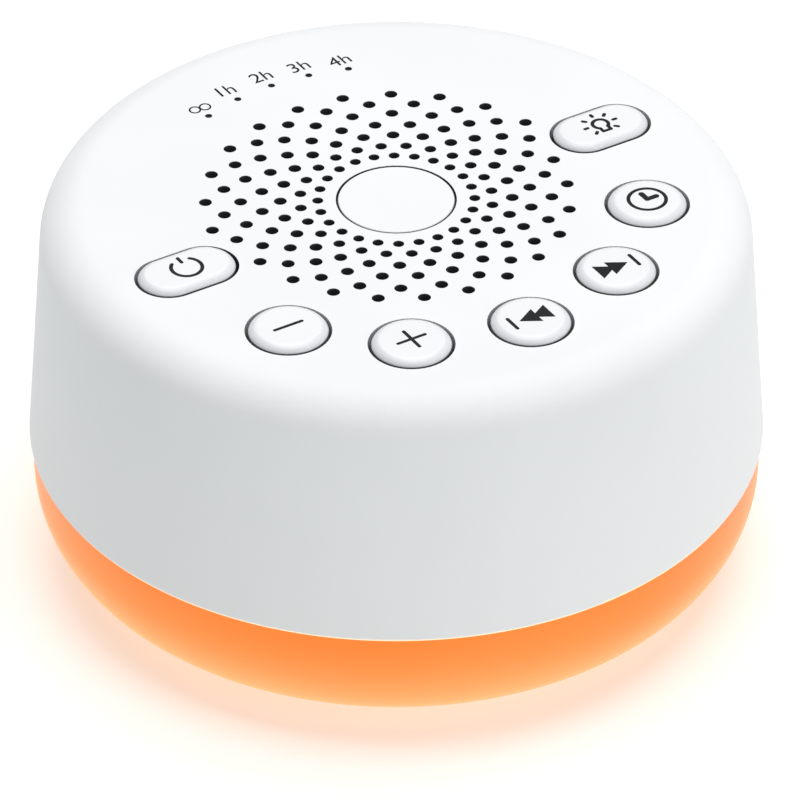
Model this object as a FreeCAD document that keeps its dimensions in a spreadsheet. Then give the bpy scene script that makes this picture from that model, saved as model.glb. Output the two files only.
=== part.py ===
"""White noise sound machine: a round white housing with a spiral grille over a glowing bowl.

The origin is the middle of the footprint, on the surface that the feet stand on. +Z is up,
-Y is the side of the round buttons, and +X points at the light button. Millimetres and degrees.
"""
import FreeCAD, Part
import math
import os

import Sketcher

# Every size that can be set by itself. All others are worked out from these.
SIZES = {
    # Housing, in profile
    "wall_room": 16.5,
    "housing_depth": 36.14,
    "wall_draft": 4.13,
    "top_edge_radius": 5.85,
    "lower_edge_radius": 0.4,
    "housing_wall": 2.2,
    "top_thickness": 2.2,
    # Bowl and feet, in profile
    "bowl_inset": 0.5,
    "bowl_depth": 17.76,
    "bowl_corner_radius": 12.7,
    "bowl_wall": 1.8,
    "bowl_rim_height": 2.0,
    "foot_height": 1.6,
    "foot_radius": 4.0,
    "foot_inset": 7.0,
    # Grille: rings of holes round the disc, alternate rings turned by half a step
    "grille_step_angle": 15.0,
    "ring_one_radius": 10.5,
    "ring_two_radius": 12.9,
    "ring_three_radius": 15.5,
    "ring_four_radius": 18.1,
    "ring_five_radius": 20.8,
    "ring_six_radius": 23.2,
    "ring_seven_radius": 25.5,
    "ring_seven_holes": 11.0,
    "inner_hole_radius": 0.75,
    "second_hole_radius": 0.8,
    "grille_hole_radius": 0.875,
    "disc_radius": 7.9,
    "disc_groove": 0.2,
    "disc_thickness": 0.9,
    "disc_bevel": 0.2,
    # Buttons
    "button_room": 7.0,
    "button_step_angle": 28.25,
    "round_button_radius": 5.4,
    "oblong_button_radius": 4.3,
    "oblong_half_straight": 2.67,
    "oblong_inset": 1.05,
    "button_clearance": 0.35,
    "button_rise": 0.75,
    "button_shoulder": 1.4,
    "button_wall": 1.0,
    "button_skin": 1.5,
    "tab_reach": 0.9,
    "tab_width": 5.0,
    "tab_thickness": 1.0,
    "tab_clearance": 0.05,
    "stem_radius": 1.75,
    "stem_length": 1.2,
    # Timer indicators
    "indicator_inset": 1.02,
    "indicator_step_angle": 10.0,
    "indicator_hole_radius": 0.5,
    "guide_clearance": 0.05,
    "guide_recess": 0.3,
    "timer_lamp_side": 1.5,
    # Tact switches
    "switch_side": 6.0,
    "switch_height": 3.5,
    "plunger_radius": 1.7,
    "plunger_rise": 1.5,
    "plunger_insertion": 1.2,
    "plunger_bore_depth": 2.0,
    "plunger_clearance": 0.05,
    # Boards, posts and screws
    "board_thickness": 1.6,
    "board_gap": 1.3,
    "control_board_room": 1.0,
    "post_radius": 3.0,
    "post_inset": 8.5,
    "post_angle": 20.0,
    "boss_radius": 2.4,
    "boss_inset": 9.5,
    "boss_angle": 45.0,
    "screw_radius": 1.25,
    "screw_length": 6.0,
    "screw_head_radius": 2.3,
    "screw_head_height": 1.4,
    "screw_fit": 0.05,
    "screw_clearance": 0.25,
    "screw_tip_room": 1.0,
    # Loudspeaker
    "speaker_radius": 26.5,
    "speaker_sheet": 1.0,
    "speaker_rim_width": 3.5,
    "basket_depth": 11.0,
    "basket_seat_radius": 14.5,
    "basket_windows": 4.0,
    "speaker_fit": 0.25,
    "speaker_rib_width": 0.9,
    "gasket_thickness": 2.0,
    "gasket_width": 2.3,
    "cloth_thickness": 0.3,
    "top_plate_radius": 15.0,
    "top_plate_thickness": 2.0,
    "magnet_radius": 17.0,
    "magnet_bore": 9.0,
    "magnet_thickness": 6.0,
    "yoke_thickness": 2.5,
    "pole_radius": 5.9,
    "coil_inner_radius": 6.2,
    "coil_wall": 0.6,
    "coil_clearance": 0.3,
    "coil_depth": 6.0,
    "cone_skin": 0.4,
    "surround_room": 6.3,
    "cone_depth": 6.8,
    "cap_height": 2.0,
    "cap_round": 1.6,
    "land_width": 1.0,
    "roll_height": 0.8,
    "roll_lean": 0.6,
    "spider_rise": 1.3,
    "spider_skin": 0.3,
    "terminal_width": 9.0,
    "terminal_thickness": 1.2,
    "terminal_height": 5.0,
    "lug_width": 2.0,
    "lug_spread": 2.5,
    "lug_length": 2.0,
    "speaker_washer_radius": 3.2,
    # Middle plate, main board and light board
    "plate_thickness": 2.0,
    "plate_clearance": 0.4,
    "pillar_radius": 3.2,
    "pillar_inset": 12.0,
    "standoff_height": 2.0,
    "standoff_radius": 2.6,
    "main_board_half_width": 24.0,
    "main_board_front": 16.0,
    "main_board_inset": 1.2,
    "standoff_half_width": 20.0,
    "standoff_front": 12.0,
    "standoff_back": 32.0,
    "chip_height": 1.2,
    "controller_side": 9.0,
    "amplifier_side": 5.0,
    "memory_side": 6.0,
    "chip_spread": 12.5,
    "chip_row": 4.0,
    "capacitor_radius": 3.15,
    "capacitor_height": 7.0,
    "capacitor_row": 24.0,
    "capacitor_half_spread": 11.0,
    "connector_width": 6.0,
    "connector_depth": 4.5,
    "connector_height": 4.6,
    "connector_row": 22.0,
    "light_board_inset": 11.5,
    "light_board_margin": 4.0,
    "light_board_thickness": 1.2,
    "lamp_inset": 3.5,
    "lamp_side": 2.8,
    "lamp_height": 0.8,
    "lamp_count": 12.0,
    "light_screw_inset": 5.5,
    "light_screw_count": 3.0,
    # Power socket
    "socket_width": 8.94,
    "socket_height": 3.26,
    "socket_length": 7.3,
    "socket_sheet": 0.3,
    "socket_recess": 0.5,
    "socket_clearance": 0.35,
    "tongue_width": 6.7,
    "tongue_height": 0.7,
    "tongue_recess": 1.0,
    # Base plate
    "base_inset": 4.8,
    "base_thickness": 1.5,
    "base_clearance": 0.2,
    "bowl_ledge_width": 3.5,
    "cup_depth": 1.6,
    "cup_floor": 1.2,
    "cup_wall": 1.0,
}

# How close two lengths are taken as the same
SAME = 1e-4
FULL_TURN = 360.0
STRAIGHT = 180.0
BACK = 90.0
DIAGONAL = 45.0
CORNERS = 4
INDICATORS = 5
ROUND_BUTTONS = ("minus", "plus", "previous", "next", "timer")
RING_NAMES = ("one", "two", "three", "four", "five", "six", "seven")


class Size:
    """A length or an angle: its number now, and the expression that follows the sheet."""

    def __init__(self, value, text):
        self.value = value
        self.text = text

    @staticmethod
    def of(other):
        return other if isinstance(other, Size) else Size(float(other), str(float(other)))

    def __add__(self, other):
        other = Size.of(other)
        return Size(self.value + other.value, f"({self.text} + {other.text})")

    def __sub__(self, other):
        other = Size.of(other)
        return Size(self.value - other.value, f"({self.text} - {other.text})")

    def __mul__(self, other):
        other = Size.of(other)
        return Size(self.value * other.value, f"({self.text} * {other.text})")

    def __truediv__(self, other):
        other = Size.of(other)
        return Size(self.value / other.value, f"({self.text} / {other.text})")

    def __neg__(self):
        return Size(-self.value, f"(0 - {self.text})")

    def cos(self):
        return Size(math.cos(math.radians(self.value)), f"cos({self.text})")

    def sin(self):
        return Size(math.sin(math.radians(self.value)), f"sin({self.text})")

    def tan(self):
        return Size(math.tan(math.radians(self.value)), f"tan({self.text})")


ZERO = Size.of(0)


class Sheet:
    """The spreadsheet, whose cells are read as sizes by their names."""

    def __init__(self, document, sizes):
        self.cells = document.addObject("Spreadsheet::Sheet", "Sizes")
        for row, (alias, value) in enumerate(sizes.items(), start=1):
            self.cells.set(f"A{row}", alias)
            self.cells.set(f"B{row}", str(value))
            self.cells.setAlias(f"B{row}", alias)
        document.recompute()

    def __getattr__(self, alias):
        return Size(float(getattr(self.cells, alias)), f"Sizes.{alias}")


document = FreeCAD.newDocument("sound_machine")
sheet = Sheet(document, SIZES)


# Circles about the middle, each set off from the one that it has to clear
button_circle_radius = sheet.speaker_radius + sheet.button_room
oblong_offset = button_circle_radius - sheet.oblong_inset
indicator_circle_radius = button_circle_radius - sheet.indicator_inset
control_board_bore = sheet.speaker_radius + sheet.control_board_room
cone_edge_radius = sheet.speaker_radius - sheet.surround_room
parting_radius = button_circle_radius + sheet.wall_room
post_circle_radius = parting_radius - sheet.post_inset
boss_circle_radius = parting_radius - sheet.boss_inset
bowl_radius = parting_radius - sheet.bowl_inset
base_radius = bowl_radius - sheet.bowl_corner_radius - sheet.base_inset
foot_circle_radius = base_radius - sheet.foot_inset
pillar_circle_radius = base_radius - sheet.pillar_inset
light_board_radius = bowl_radius - sheet.light_board_inset
lamp_circle_radius = light_board_radius - sheet.lamp_inset
light_screw_circle_radius = lamp_circle_radius - sheet.light_screw_inset
light_board_bore = light_screw_circle_radius - sheet.light_board_margin


# Places that several pieces share
underside = sheet.foot_height
parting = underside + sheet.bowl_depth
top = parting + sheet.housing_depth
ceiling = top - sheet.top_thickness
wall_slope = sheet.wall_draft.tan()
top_corner_radius = parting_radius - sheet.housing_depth * wall_slope
plate_bottom = parting + sheet.bowl_rim_height
plate_top = plate_bottom + sheet.plate_thickness
tab_top = ceiling - sheet.tab_clearance
stem_bottom = tab_top - sheet.tab_thickness - sheet.stem_length
control_board_top = stem_bottom - sheet.plunger_rise - sheet.switch_height
control_board_bottom = control_board_top - sheet.board_thickness
speaker_rim_top = ceiling - sheet.cloth_thickness - sheet.gasket_thickness
speaker_rim_bottom = speaker_rim_top - sheet.speaker_sheet
main_board_bottom = plate_top + sheet.standoff_height
main_board_top = main_board_bottom + sheet.board_thickness
socket_middle = main_board_top + sheet.socket_height / 2
cup_seat = underside + sheet.cup_depth
pillar_bottom = cup_seat + sheet.cup_floor


def outer_radius(height):
    """Outer radius of the housing's wall at a height over the floor."""
    return parting_radius - (height - parting) * wall_slope


def inner_radius(height):
    """Inner radius of the housing's wall at a height over the floor."""
    return outer_radius(height) - sheet.housing_wall


def polar(radius, angle):
    """The point at a radius and an angle, where 0 is +X and 90 is +Y."""
    angle = Size.of(angle)
    return radius * angle.cos(), radius * angle.sin()


def button_angle(index):
    """Angle of a round button, counted from the middle one, which is straight in front."""
    return sheet.button_step_angle * index - BACK


def four_about_x(radius, angle):
    """Four points at a radius, at an angle to either side of +X and of -X."""
    places = (angle, -angle, -angle + STRAIGHT, angle + STRAIGHT)
    return [polar(radius, place) for place in places]


def spread(radius, count, start=0.0):
    """Points evenly spaced round a circle."""
    return [polar(radius, start + FULL_TURN * index / count) for index in range(count)]


button_places = {
    name: polar(button_circle_radius, button_angle(index - len(ROUND_BUTTONS) // 2))
    for index, name in enumerate(ROUND_BUTTONS)
}
switch_places = list(button_places.values())
oblong_places = [(-oblong_offset, ZERO), (oblong_offset, ZERO)]
switch_places += oblong_places
indicator_places = [
    polar(indicator_circle_radius, sheet.indicator_step_angle * index + BACK)
    for index in range(-(INDICATORS // 2), INDICATORS // 2 + 1)
]
post_places = four_about_x(post_circle_radius, sheet.post_angle)
between_buttons = sheet.button_step_angle + sheet.button_step_angle / 2
boss_angles = (
    sheet.boss_angle,
    -sheet.boss_angle + STRAIGHT,
    between_buttons - BACK,
    -between_buttons - BACK,
)
boss_places = [polar(boss_circle_radius, angle) for angle in boss_angles]
speaker_screw_circle = sheet.speaker_radius + sheet.boss_radius
speaker_screw_places = [polar(speaker_screw_circle, angle) for angle in boss_angles]
pillar_places = spread(pillar_circle_radius, CORNERS)
foot_places = spread(foot_circle_radius, CORNERS, DIAGONAL)
standoff_places = [
    (side, row)
    for side in (-sheet.standoff_half_width, sheet.standoff_half_width)
    for row in (-sheet.standoff_front, sheet.standoff_back)
]


def body(label, height=ZERO, x=ZERO, y=ZERO, turn=ZERO):
    """A new piece whose own frame stands at a place over the floor."""
    piece = document.addObject("PartDesign::Body", label)
    piece.Label = label
    piece.AllowCompound = True
    piece.Placement = FreeCAD.Placement(
        FreeCAD.Vector(x.value, y.value, height.value),
        FreeCAD.Rotation(FreeCAD.Vector(0, 0, 1), turn.value),
    )
    piece.setExpression("Placement.Base.x", x.text)
    piece.setExpression("Placement.Base.y", y.text)
    piece.setExpression("Placement.Base.z", height.text)
    if turn is not ZERO:
        piece.setExpression("Placement.Rotation.Angle", turn.text)
    return piece


def plane_of(piece, role):
    """One of a piece's own origin planes."""
    return next(item for item in piece.Origin.OriginFeatures if item.Role == role)


def sketch(piece, name, role="XY_Plane", height=None):
    """An empty sketch on one of the piece's own planes, lifted along its normal by a height."""
    drawing = piece.newObject("Sketcher::SketchObject", f"{piece.Label}_{name}")
    drawing.AttachmentSupport = [(plane_of(piece, role), "")]
    drawing.MapMode = "FlatFace"
    if height is not None:
        drawing.setExpression("AttachmentOffset.Base.z", height.text)
    return drawing


def hold(drawing, kind, place, size):
    """Adds one dimension and ties it to the sheet."""
    index = drawing.addConstraint(Sketcher.Constraint(kind, *place, size.value))
    drawing.setExpression(f"Constraints[{index}]", size.text)


def hold_point(drawing, item, point, x, y):
    """Ties a point of a sketch to its distances from the sketch's origin."""
    hold(drawing, "DistanceX", (-1, 1, item, point), x)
    hold(drawing, "DistanceY", (-1, 1, item, point), y)


def outline(drawing, corners):
    """Draws a closed outline with straight sides through its corners."""
    count = len(corners)
    spots = [FreeCAD.Vector(x.value, y.value, 0) for x, y in corners]
    first = drawing.GeometryCount
    for index in range(count):
        drawing.addGeometry(Part.LineSegment(spots[index], spots[(index + 1) % count]))
    for index, (x, y) in enumerate(corners):
        following = first + (index + 1) % count
        drawing.addConstraint(Sketcher.Constraint("Coincident", first + index, 2, following, 1))
        hold_point(drawing, first + index, 1, x, y)


def circles(drawing, places, radius):
    """Draws equal circles."""
    for x, y in places:
        centre = FreeCAD.Vector(x.value, y.value, 0)
        item = drawing.addGeometry(Part.Circle(centre, FreeCAD.Vector(0, 0, 1), radius.value))
        hold_point(drawing, item, 3, x, y)
        hold(drawing, "Radius", (item,), radius)


def rectangles(drawing, places, width, depth):
    """Draws equal rectangles about their middles."""
    across = width / 2
    along = depth / 2
    for x, y in places:
        corners = ((x - across, y - along), (x + across, y - along))
        corners += ((x + across, y + along), (x - across, y + along))
        outline(drawing, corners)


def slots(drawing, places, half_straight, radius):
    """Draws equal slots that run along the sketch's own X."""
    quarter = math.pi / 2
    for x, y in places:
        ends = (x + half_straight, x - half_straight)
        up = FreeCAD.Vector(0, 0, 1)
        right, left = (FreeCAD.Vector(end.value, y.value, 0) for end in ends)
        rise = FreeCAD.Vector(0, radius.value, 0)
        curve_right = Part.ArcOfCircle(Part.Circle(right, up, radius.value), -quarter, quarter)
        curve_left = Part.ArcOfCircle(Part.Circle(left, up, radius.value), quarter, 3 * quarter)
        items = [
            drawing.addGeometry(curve_right),
            drawing.addGeometry(Part.LineSegment(right + rise, left + rise)),
            drawing.addGeometry(curve_left),
            drawing.addGeometry(Part.LineSegment(left - rise, right - rise)),
        ]
        for item, following in zip(items, items[1:] + items[:1]):
            drawing.addConstraint(Sketcher.Constraint("Tangent", item, 2, following, 1))
        for item, end in zip(items[::2], ends):
            hold_point(drawing, item, 3, end, y)
            hold(drawing, "Radius", (item,), radius)


def feature(piece, kind, name, drawing=None):
    """A new feature at the end of a piece."""
    step = piece.newObject(f"PartDesign::{kind}", f"{piece.Label}_{name}")
    if drawing is not None:
        step.Profile = drawing
    piece.Tip = step
    return step


def revolve(piece, name, corners):
    """Turns an outline, given as radius and height, round the piece's own Z."""
    drawing = sketch(piece, f"{name}_profile", "XZ_Plane")
    outline(drawing, corners)
    step = feature(piece, "Revolution", name, drawing)
    step.ReferenceAxis = (drawing, ["V_Axis"])
    step.Angle = FULL_TURN
    return step


def pad(piece, name, height, length, draw, *values):
    """Raises what draw sets out, from a height in the piece's own frame."""
    drawing = sketch(piece, f"{name}_outline", height=height)
    draw(drawing, *values)
    step = feature(piece, "Pad", name, drawing)
    step.setExpression("Length", length.text)
    return step


def pocket(piece, name, height, length, draw, *values):
    """Cuts what draw sets out, from a height in the piece's own frame downwards."""
    drawing = sketch(piece, f"{name}_outline", height=height)
    draw(drawing, *values)
    step = feature(piece, "Pocket", name, drawing)
    step.setExpression("Length", length.text)
    return step


def pocket_up(piece, name, height, length, draw, *values):
    """Cuts what draw sets out, from a height in the piece's own frame upwards."""
    step = pocket(piece, name, height, length, draw, *values)
    step.Reversed = True
    return step


def ring(drawing, inner, outer):
    """Draws two circles about the origin."""
    circles(drawing, [(ZERO, ZERO)], inner)
    circles(drawing, [(ZERO, ZERO)], outer)


def round_off(piece, name, radius, chosen):
    """Rounds the edges of the piece so far that chosen accepts."""
    document.recompute()
    base = piece.Tip
    names = [f"Edge{i}" for i, edge in enumerate(base.Shape.Edges, start=1) if chosen(edge)]
    if not names:
        raise RuntimeError(f"{piece.Label}: nothing to round for {name}")
    step = feature(piece, "Fillet", name)
    step.Base = (base, names)
    step.setExpression("Radius", radius.text)
    return step


def bevel(piece, name, size, chosen):
    """Bevels the edges of the piece so far that chosen accepts."""
    document.recompute()
    base = piece.Tip
    names = [f"Edge{i}" for i, edge in enumerate(base.Shape.Edges, start=1) if chosen(edge)]
    step = feature(piece, "Chamfer", name)
    step.Base = (base, names)
    step.setExpression("Size", size.text)
    return step


def circle_edge(radius, height):
    """A test for the circular edge of a radius, level at a height in the piece's own frame."""

    def chosen(edge):
        curve = edge.Curve
        if not isinstance(curve, Part.Circle):
            return False
        same_radius = abs(curve.Radius - radius.value) < SAME
        return same_radius and abs(curve.Center.z - height.value) < SAME

    return chosen


def level_edge(height):
    """A test for every edge that lies at a height in the piece's own frame."""

    def chosen(edge):
        box = edge.BoundBox
        return abs(box.ZMin - height.value) < SAME and abs(box.ZMax - height.value) < SAME

    return chosen


def repeat_round(piece, name, step, count, angle):
    """Repeats a feature about the piece's own Z."""
    pattern = feature(piece, "PolarPattern", name)
    pattern.Originals = [step]
    pattern.Axis = (step.Profile[0], ["N_Axis"])
    pattern.setExpression("Angle", angle.text)
    pattern.setExpression("Occurrences", count.text)
    piece.Tip = pattern
    return pattern


def top_housing():
    """The moulded shell with its grille, openings, posts and bosses. Its own Z is 0 at the parting."""
    piece = body("top_housing", parting)
    depth = sheet.housing_depth
    inside = ceiling - parting
    inner_corner = inner_radius(ceiling)
    inner_foot = parting_radius - sheet.housing_wall
    corners = [
        (ZERO, inside),
        (ZERO, depth),
        (top_corner_radius, depth),
        (parting_radius, ZERO),
        (inner_foot, ZERO),
        (inner_corner, inside),
    ]
    revolve(piece, "shell", corners)
    round_off(piece, "top_edge", sheet.top_edge_radius, circle_edge(top_corner_radius, depth))
    inner_round = sheet.top_edge_radius - sheet.top_thickness
    round_off(piece, "inner_edge", inner_round, circle_edge(inner_corner, inside))
    round_off(piece, "lower_edge", sheet.lower_edge_radius, circle_edge(parting_radius, ZERO))

    root = inside + sheet.top_thickness / 2
    for name, bottom, places, radius in (
        ("posts", plate_top, post_places, sheet.post_radius),
        ("board_bosses", control_board_top, boss_places, sheet.boss_radius),
        ("speaker_bosses", speaker_rim_bottom, speaker_screw_places, sheet.boss_radius),
    ):
        foot = bottom - parting
        pad(piece, name, foot, root - foot, circles, places, radius)
        depth_of_bore = sheet.screw_length + sheet.screw_tip_room
        if name == "speaker_bosses":
            depth_of_bore = inside - foot
        bore = sheet.screw_radius + sheet.screw_fit
        pocket_up(piece, f"{name}_bores", foot, depth_of_bore, circles, places, bore)

    rib_inner = sheet.speaker_radius + sheet.speaker_fit
    rib_foot = speaker_rim_bottom + sheet.speaker_sheet / 2 - parting
    rib = (rib_inner, rib_inner + sheet.speaker_rib_width)
    pad(piece, "speaker_rib", rib_foot, root - rib_foot, ring, *rib)

    through = sheet.top_thickness + sheet.housing_wall
    opening = sheet.round_button_radius + sheet.button_clearance
    pocket(piece, "round_openings", depth, through, circles, button_places.values(), opening)
    slot_radius = sheet.oblong_button_radius + sheet.button_clearance
    slot_sizes = (oblong_places, sheet.oblong_half_straight, slot_radius)
    pocket(piece, "oblong_openings", depth, through, slots, *slot_sizes)
    hole = sheet.indicator_hole_radius
    pocket(piece, "indicator_holes", depth, through, circles, indicator_places, hole)
    recess = sheet.disc_radius + sheet.disc_groove
    pocket(piece, "disc_recess", depth, sheet.disc_thickness, circles, [(ZERO, ZERO)], recess)

    drawing = sketch(piece, "socket_outline", "XZ_Plane")
    slot_radius = sheet.socket_height / 2 + sheet.socket_clearance
    half_straight = (sheet.socket_width - sheet.socket_height) / 2
    slots(drawing, [(ZERO, socket_middle - parting)], half_straight, slot_radius)
    step = feature(piece, "Pocket", "socket_opening", drawing)
    step.setExpression("Length", (parting_radius + sheet.housing_wall).text)

    grille(piece, depth)
    return piece


def grille(piece, height):
    """Rings of holes: each ring is one hole, repeated round the middle."""
    step_angle = sheet.grille_step_angle
    whole_ring = Size.of(FULL_TURN)
    full_count = whole_ring / step_angle
    for index, name in enumerate(RING_NAMES):
        radius = getattr(sheet, f"ring_{name}_radius")
        hole = (sheet.inner_hole_radius, sheet.second_hole_radius)
        hole = hole[index] if index < len(hole) else sheet.grille_hole_radius
        start = step_angle / 2 if index % 2 else step_angle
        place = polar(radius, start)
        first = pocket(
            piece, f"ring_{name}_hole", height, sheet.top_thickness, circles, [place], hole
        )
        if name == RING_NAMES[-1]:
            swept = step_angle * (sheet.ring_seven_holes - 1)
            repeat_round(piece, f"ring_{name}", first, sheet.ring_seven_holes, swept)
        else:
            repeat_round(piece, f"ring_{name}", first, full_count, whole_ring)


def centre_disc():
    """The blank disc in the middle of the grille, flush with the top."""
    piece = body("centre_disc", top - sheet.disc_thickness)
    radius = sheet.disc_radius
    pad(piece, "disc", ZERO, sheet.disc_thickness, circles, [(ZERO, ZERO)], radius)
    edge = circle_edge(radius, sheet.disc_thickness)
    bevel(piece, "edge", sheet.disc_bevel, edge)
    return piece


def button(name, x, y, turn, radius, half_straight=None):
    """A moulded push button: a cap with a rounded shoulder, two tabs under the housing and a stem."""
    piece = body(f"button_{name}", tab_top, x, y, turn)
    middle = [(ZERO, ZERO)]
    rise = sheet.top_thickness + sheet.tab_clearance + sheet.button_rise

    def shape(drawing, size):
        if half_straight is None:
            circles(drawing, middle, size)
        else:
            slots(drawing, middle, half_straight, size)

    reach = radius + sheet.button_clearance + sheet.tab_reach
    tabs = (middle, sheet.tab_width, reach * 2)
    tab = sheet.tab_thickness
    pad(piece, "cap", -tab, tab + rise, shape, radius)
    pad(piece, "tabs", -tab, tab, rectangles, *tabs)
    hollow = tab + rise - sheet.button_skin
    pocket_up(piece, "hollow", -tab, hollow, shape, radius - sheet.button_wall)
    foot = -(tab + sheet.stem_length)
    stem = sheet.stem_length + hollow
    pad(piece, "stem", foot, stem, circles, middle, sheet.stem_radius)
    round_off(piece, "shoulder", sheet.button_shoulder, level_edge(rise))
    return piece


def plunger(name, x, y):
    """The part of a tact switch that the button's stem presses."""
    foot = control_board_top + sheet.switch_height - sheet.plunger_insertion
    piece = body(f"plunger_{name}", foot, x, y)
    length = sheet.plunger_insertion + sheet.plunger_rise
    pad(piece, "pin", ZERO, length, circles, [(ZERO, ZERO)], sheet.plunger_radius)
    return piece


def tact_switches():
    """Seven square switch bodies on the control board, each with a bore for its plunger."""
    piece = body("tact_switches", control_board_top)
    side = sheet.switch_side
    pad(piece, "bodies", ZERO, sheet.switch_height, rectangles, switch_places, side, side)
    bore = sheet.plunger_radius + sheet.plunger_clearance
    bores = (circles, switch_places, bore)
    pocket(piece, "bores", sheet.switch_height, sheet.plunger_bore_depth, *bores)
    return piece


def screws(label, seat, places, head_radius=None, length=None):
    """Screws that point up: their heads hang below the seat, their shanks rise above it."""
    piece = body(label, seat)
    head = sheet.screw_head_height
    head_radius = head_radius or sheet.screw_head_radius
    length = length or sheet.screw_length
    pad(piece, "heads", -head, head, circles, places, head_radius)
    pad(piece, "shanks", ZERO, length, circles, places, sheet.screw_radius)
    return piece


def control_board():
    """The ring board under the buttons, with holes for the housing's posts and its own screws."""
    piece = body("control_board", control_board_bottom)
    outer = inner_radius(control_board_top) - sheet.board_gap
    thickness = sheet.board_thickness
    pad(piece, "ring", ZERO, thickness, ring, control_board_bore, outer)
    post_room = sheet.post_radius + sheet.board_gap / 2
    pocket(piece, "post_holes", thickness, thickness, circles, post_places, post_room)
    screw_room = sheet.screw_radius + sheet.screw_clearance
    pocket(piece, "screw_holes", thickness, thickness, circles, boss_places, screw_room)
    return piece


def timer_leds():
    """Five indicator lights on the control board."""
    piece = body("timer_leds", control_board_top)
    side = sheet.timer_lamp_side
    pad(piece, "lights", ZERO, sheet.lamp_height, rectangles, indicator_places, side, side)
    return piece


def timer_light_guides():
    """Five clear pins that carry the indicator lights up into the housing's small holes."""
    foot = control_board_top + sheet.lamp_height
    piece = body("timer_light_guides", foot)
    radius = sheet.indicator_hole_radius - sheet.guide_clearance
    length = top - sheet.guide_recess - foot
    pad(piece, "pins", ZERO, length, circles, indicator_places, radius)
    return piece


def room_for_oblong_buttons(piece, thickness):
    """Cuts a sheet back round the inner ends of the two oblong buttons."""
    radius = sheet.oblong_button_radius + sheet.button_clearance * 2
    shape = (oblong_places, sheet.oblong_half_straight, radius)
    pocket(piece, "button_room", thickness, thickness, slots, *shape)


def grille_cloth():
    """The cloth glued under the grille."""
    thickness = sheet.cloth_thickness
    piece = body("grille_cloth", ceiling - thickness)
    pad(piece, "disc", ZERO, thickness, circles, [(ZERO, ZERO)], sheet.speaker_radius)
    room_for_oblong_buttons(piece, thickness)
    return piece


def speaker_gasket():
    """The foam ring between the cloth and the loudspeaker's rim."""
    thickness = sheet.gasket_thickness
    piece = body("speaker_gasket", speaker_rim_top)
    inner = sheet.speaker_radius - sheet.gasket_width
    pad(piece, "ring", ZERO, thickness, ring, inner, sheet.speaker_radius)
    room_for_oblong_buttons(piece, thickness)
    return piece


def ring_node(label, height, thickness, inner, outer):
    """A plain flat ring."""
    piece = body(label, height)
    pad(piece, "ring", ZERO, thickness, ring, inner, outer)
    return piece


def speaker_frame():
    """The pressed steel basket, with its rim at the top and four windows. Its own Z is 0 at the rim."""
    piece = body("speaker_frame", speaker_rim_top)
    sheet_metal = sheet.speaker_sheet
    rim_inner = sheet.speaker_radius - sheet.speaker_rim_width
    deep = -sheet.basket_depth
    seat = sheet.basket_seat_radius
    corners = [
        (rim_inner, ZERO),
        (sheet.speaker_radius, ZERO),
        (sheet.speaker_radius, -sheet_metal),
        (rim_inner + sheet_metal, -sheet_metal),
        (seat + sheet_metal, deep),
        (gap_radius, deep),
        (gap_radius, deep + sheet_metal),
        (seat, deep + sheet_metal),
    ]
    revolve(piece, "basket", corners)
    middle = (seat + rim_inner) / 2 + sheet_metal
    window = (rim_inner - seat) / 2
    place = (middle, ZERO)
    shape = (rectangles, [place], window, seat)
    first = pocket(piece, "window", -sheet_metal, sheet.basket_depth, *shape)
    repeat_round(piece, "windows", first, sheet.basket_windows, Size.of(FULL_TURN))
    return piece


def speaker_yoke():
    """The back plate and the pole that rises through the magnet."""
    thickness = sheet.yoke_thickness
    foot = magnet_bottom - thickness
    piece = body("speaker_yoke", foot)
    middle = [(ZERO, ZERO)]
    pad(piece, "plate", ZERO, thickness, circles, middle, sheet.top_plate_radius)
    pole = sheet.magnet_thickness + sheet.top_plate_thickness
    pad(piece, "pole", thickness, pole, circles, middle, sheet.pole_radius)
    return piece


def speaker_cone():
    """The cone, from the voice coil out to the surround. Its own Z is 0 at its outer edge."""
    piece = body("speaker_cone", speaker_rim_top)
    neck = coil_outer_radius
    skin = sheet.cone_skin
    edge = cone_edge_radius
    shoulder = edge - sheet.land_width
    corners = [
        (neck, -sheet.cone_depth),
        (neck, -sheet.cone_depth + skin),
        (shoulder, ZERO),
        (edge, ZERO),
        (edge, -skin),
        (shoulder + skin, -skin),
        (neck + skin, -sheet.cone_depth),
    ]
    revolve(piece, "cone", corners)
    return piece


def voice_coil():
    """The coil's tube, which runs in the gap between pole and top plate."""
    foot = speaker_rim_top - sheet.basket_depth - sheet.coil_depth
    piece = body("voice_coil", foot)
    length = sheet.basket_depth + sheet.coil_depth - sheet.cone_depth + sheet.cone_skin
    pad(piece, "tube", ZERO, length, ring, sheet.coil_inner_radius, coil_outer_radius)
    return piece


def dust_cap():
    """The cap over the voice coil, seated on the coil's end."""
    foot = speaker_rim_top - sheet.cone_depth + sheet.cone_skin
    piece = body("dust_cap", foot)
    radius = coil_outer_radius
    pad(piece, "cap", ZERO, sheet.cap_height, circles, [(ZERO, ZERO)], radius)
    round_off(piece, "dome", sheet.cap_round, circle_edge(radius, sheet.cap_height))
    return piece


def speaker_surround():
    """The rolled edge between the cone and the rim, level on both."""
    piece = body("speaker_surround", speaker_rim_top)
    skin = sheet.cone_skin
    land = sheet.land_width
    lean = sheet.roll_lean
    rise = sheet.roll_height
    edge = cone_edge_radius
    rim = sheet.speaker_radius - sheet.speaker_rim_width
    corners = [
        (edge - land, ZERO),
        (edge, ZERO),
        (edge + lean, rise),
        (rim - lean, rise),
        (rim, ZERO),
        (rim + land, ZERO),
        (rim + land, skin),
        (rim + skin / 2, skin),
        (rim - lean + skin / 2, rise + skin),
        (edge + lean - skin / 2, rise + skin),
        (edge - skin / 2, skin),
        (edge - land, skin),
    ]
    revolve(piece, "roll", corners)
    return piece


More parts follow.
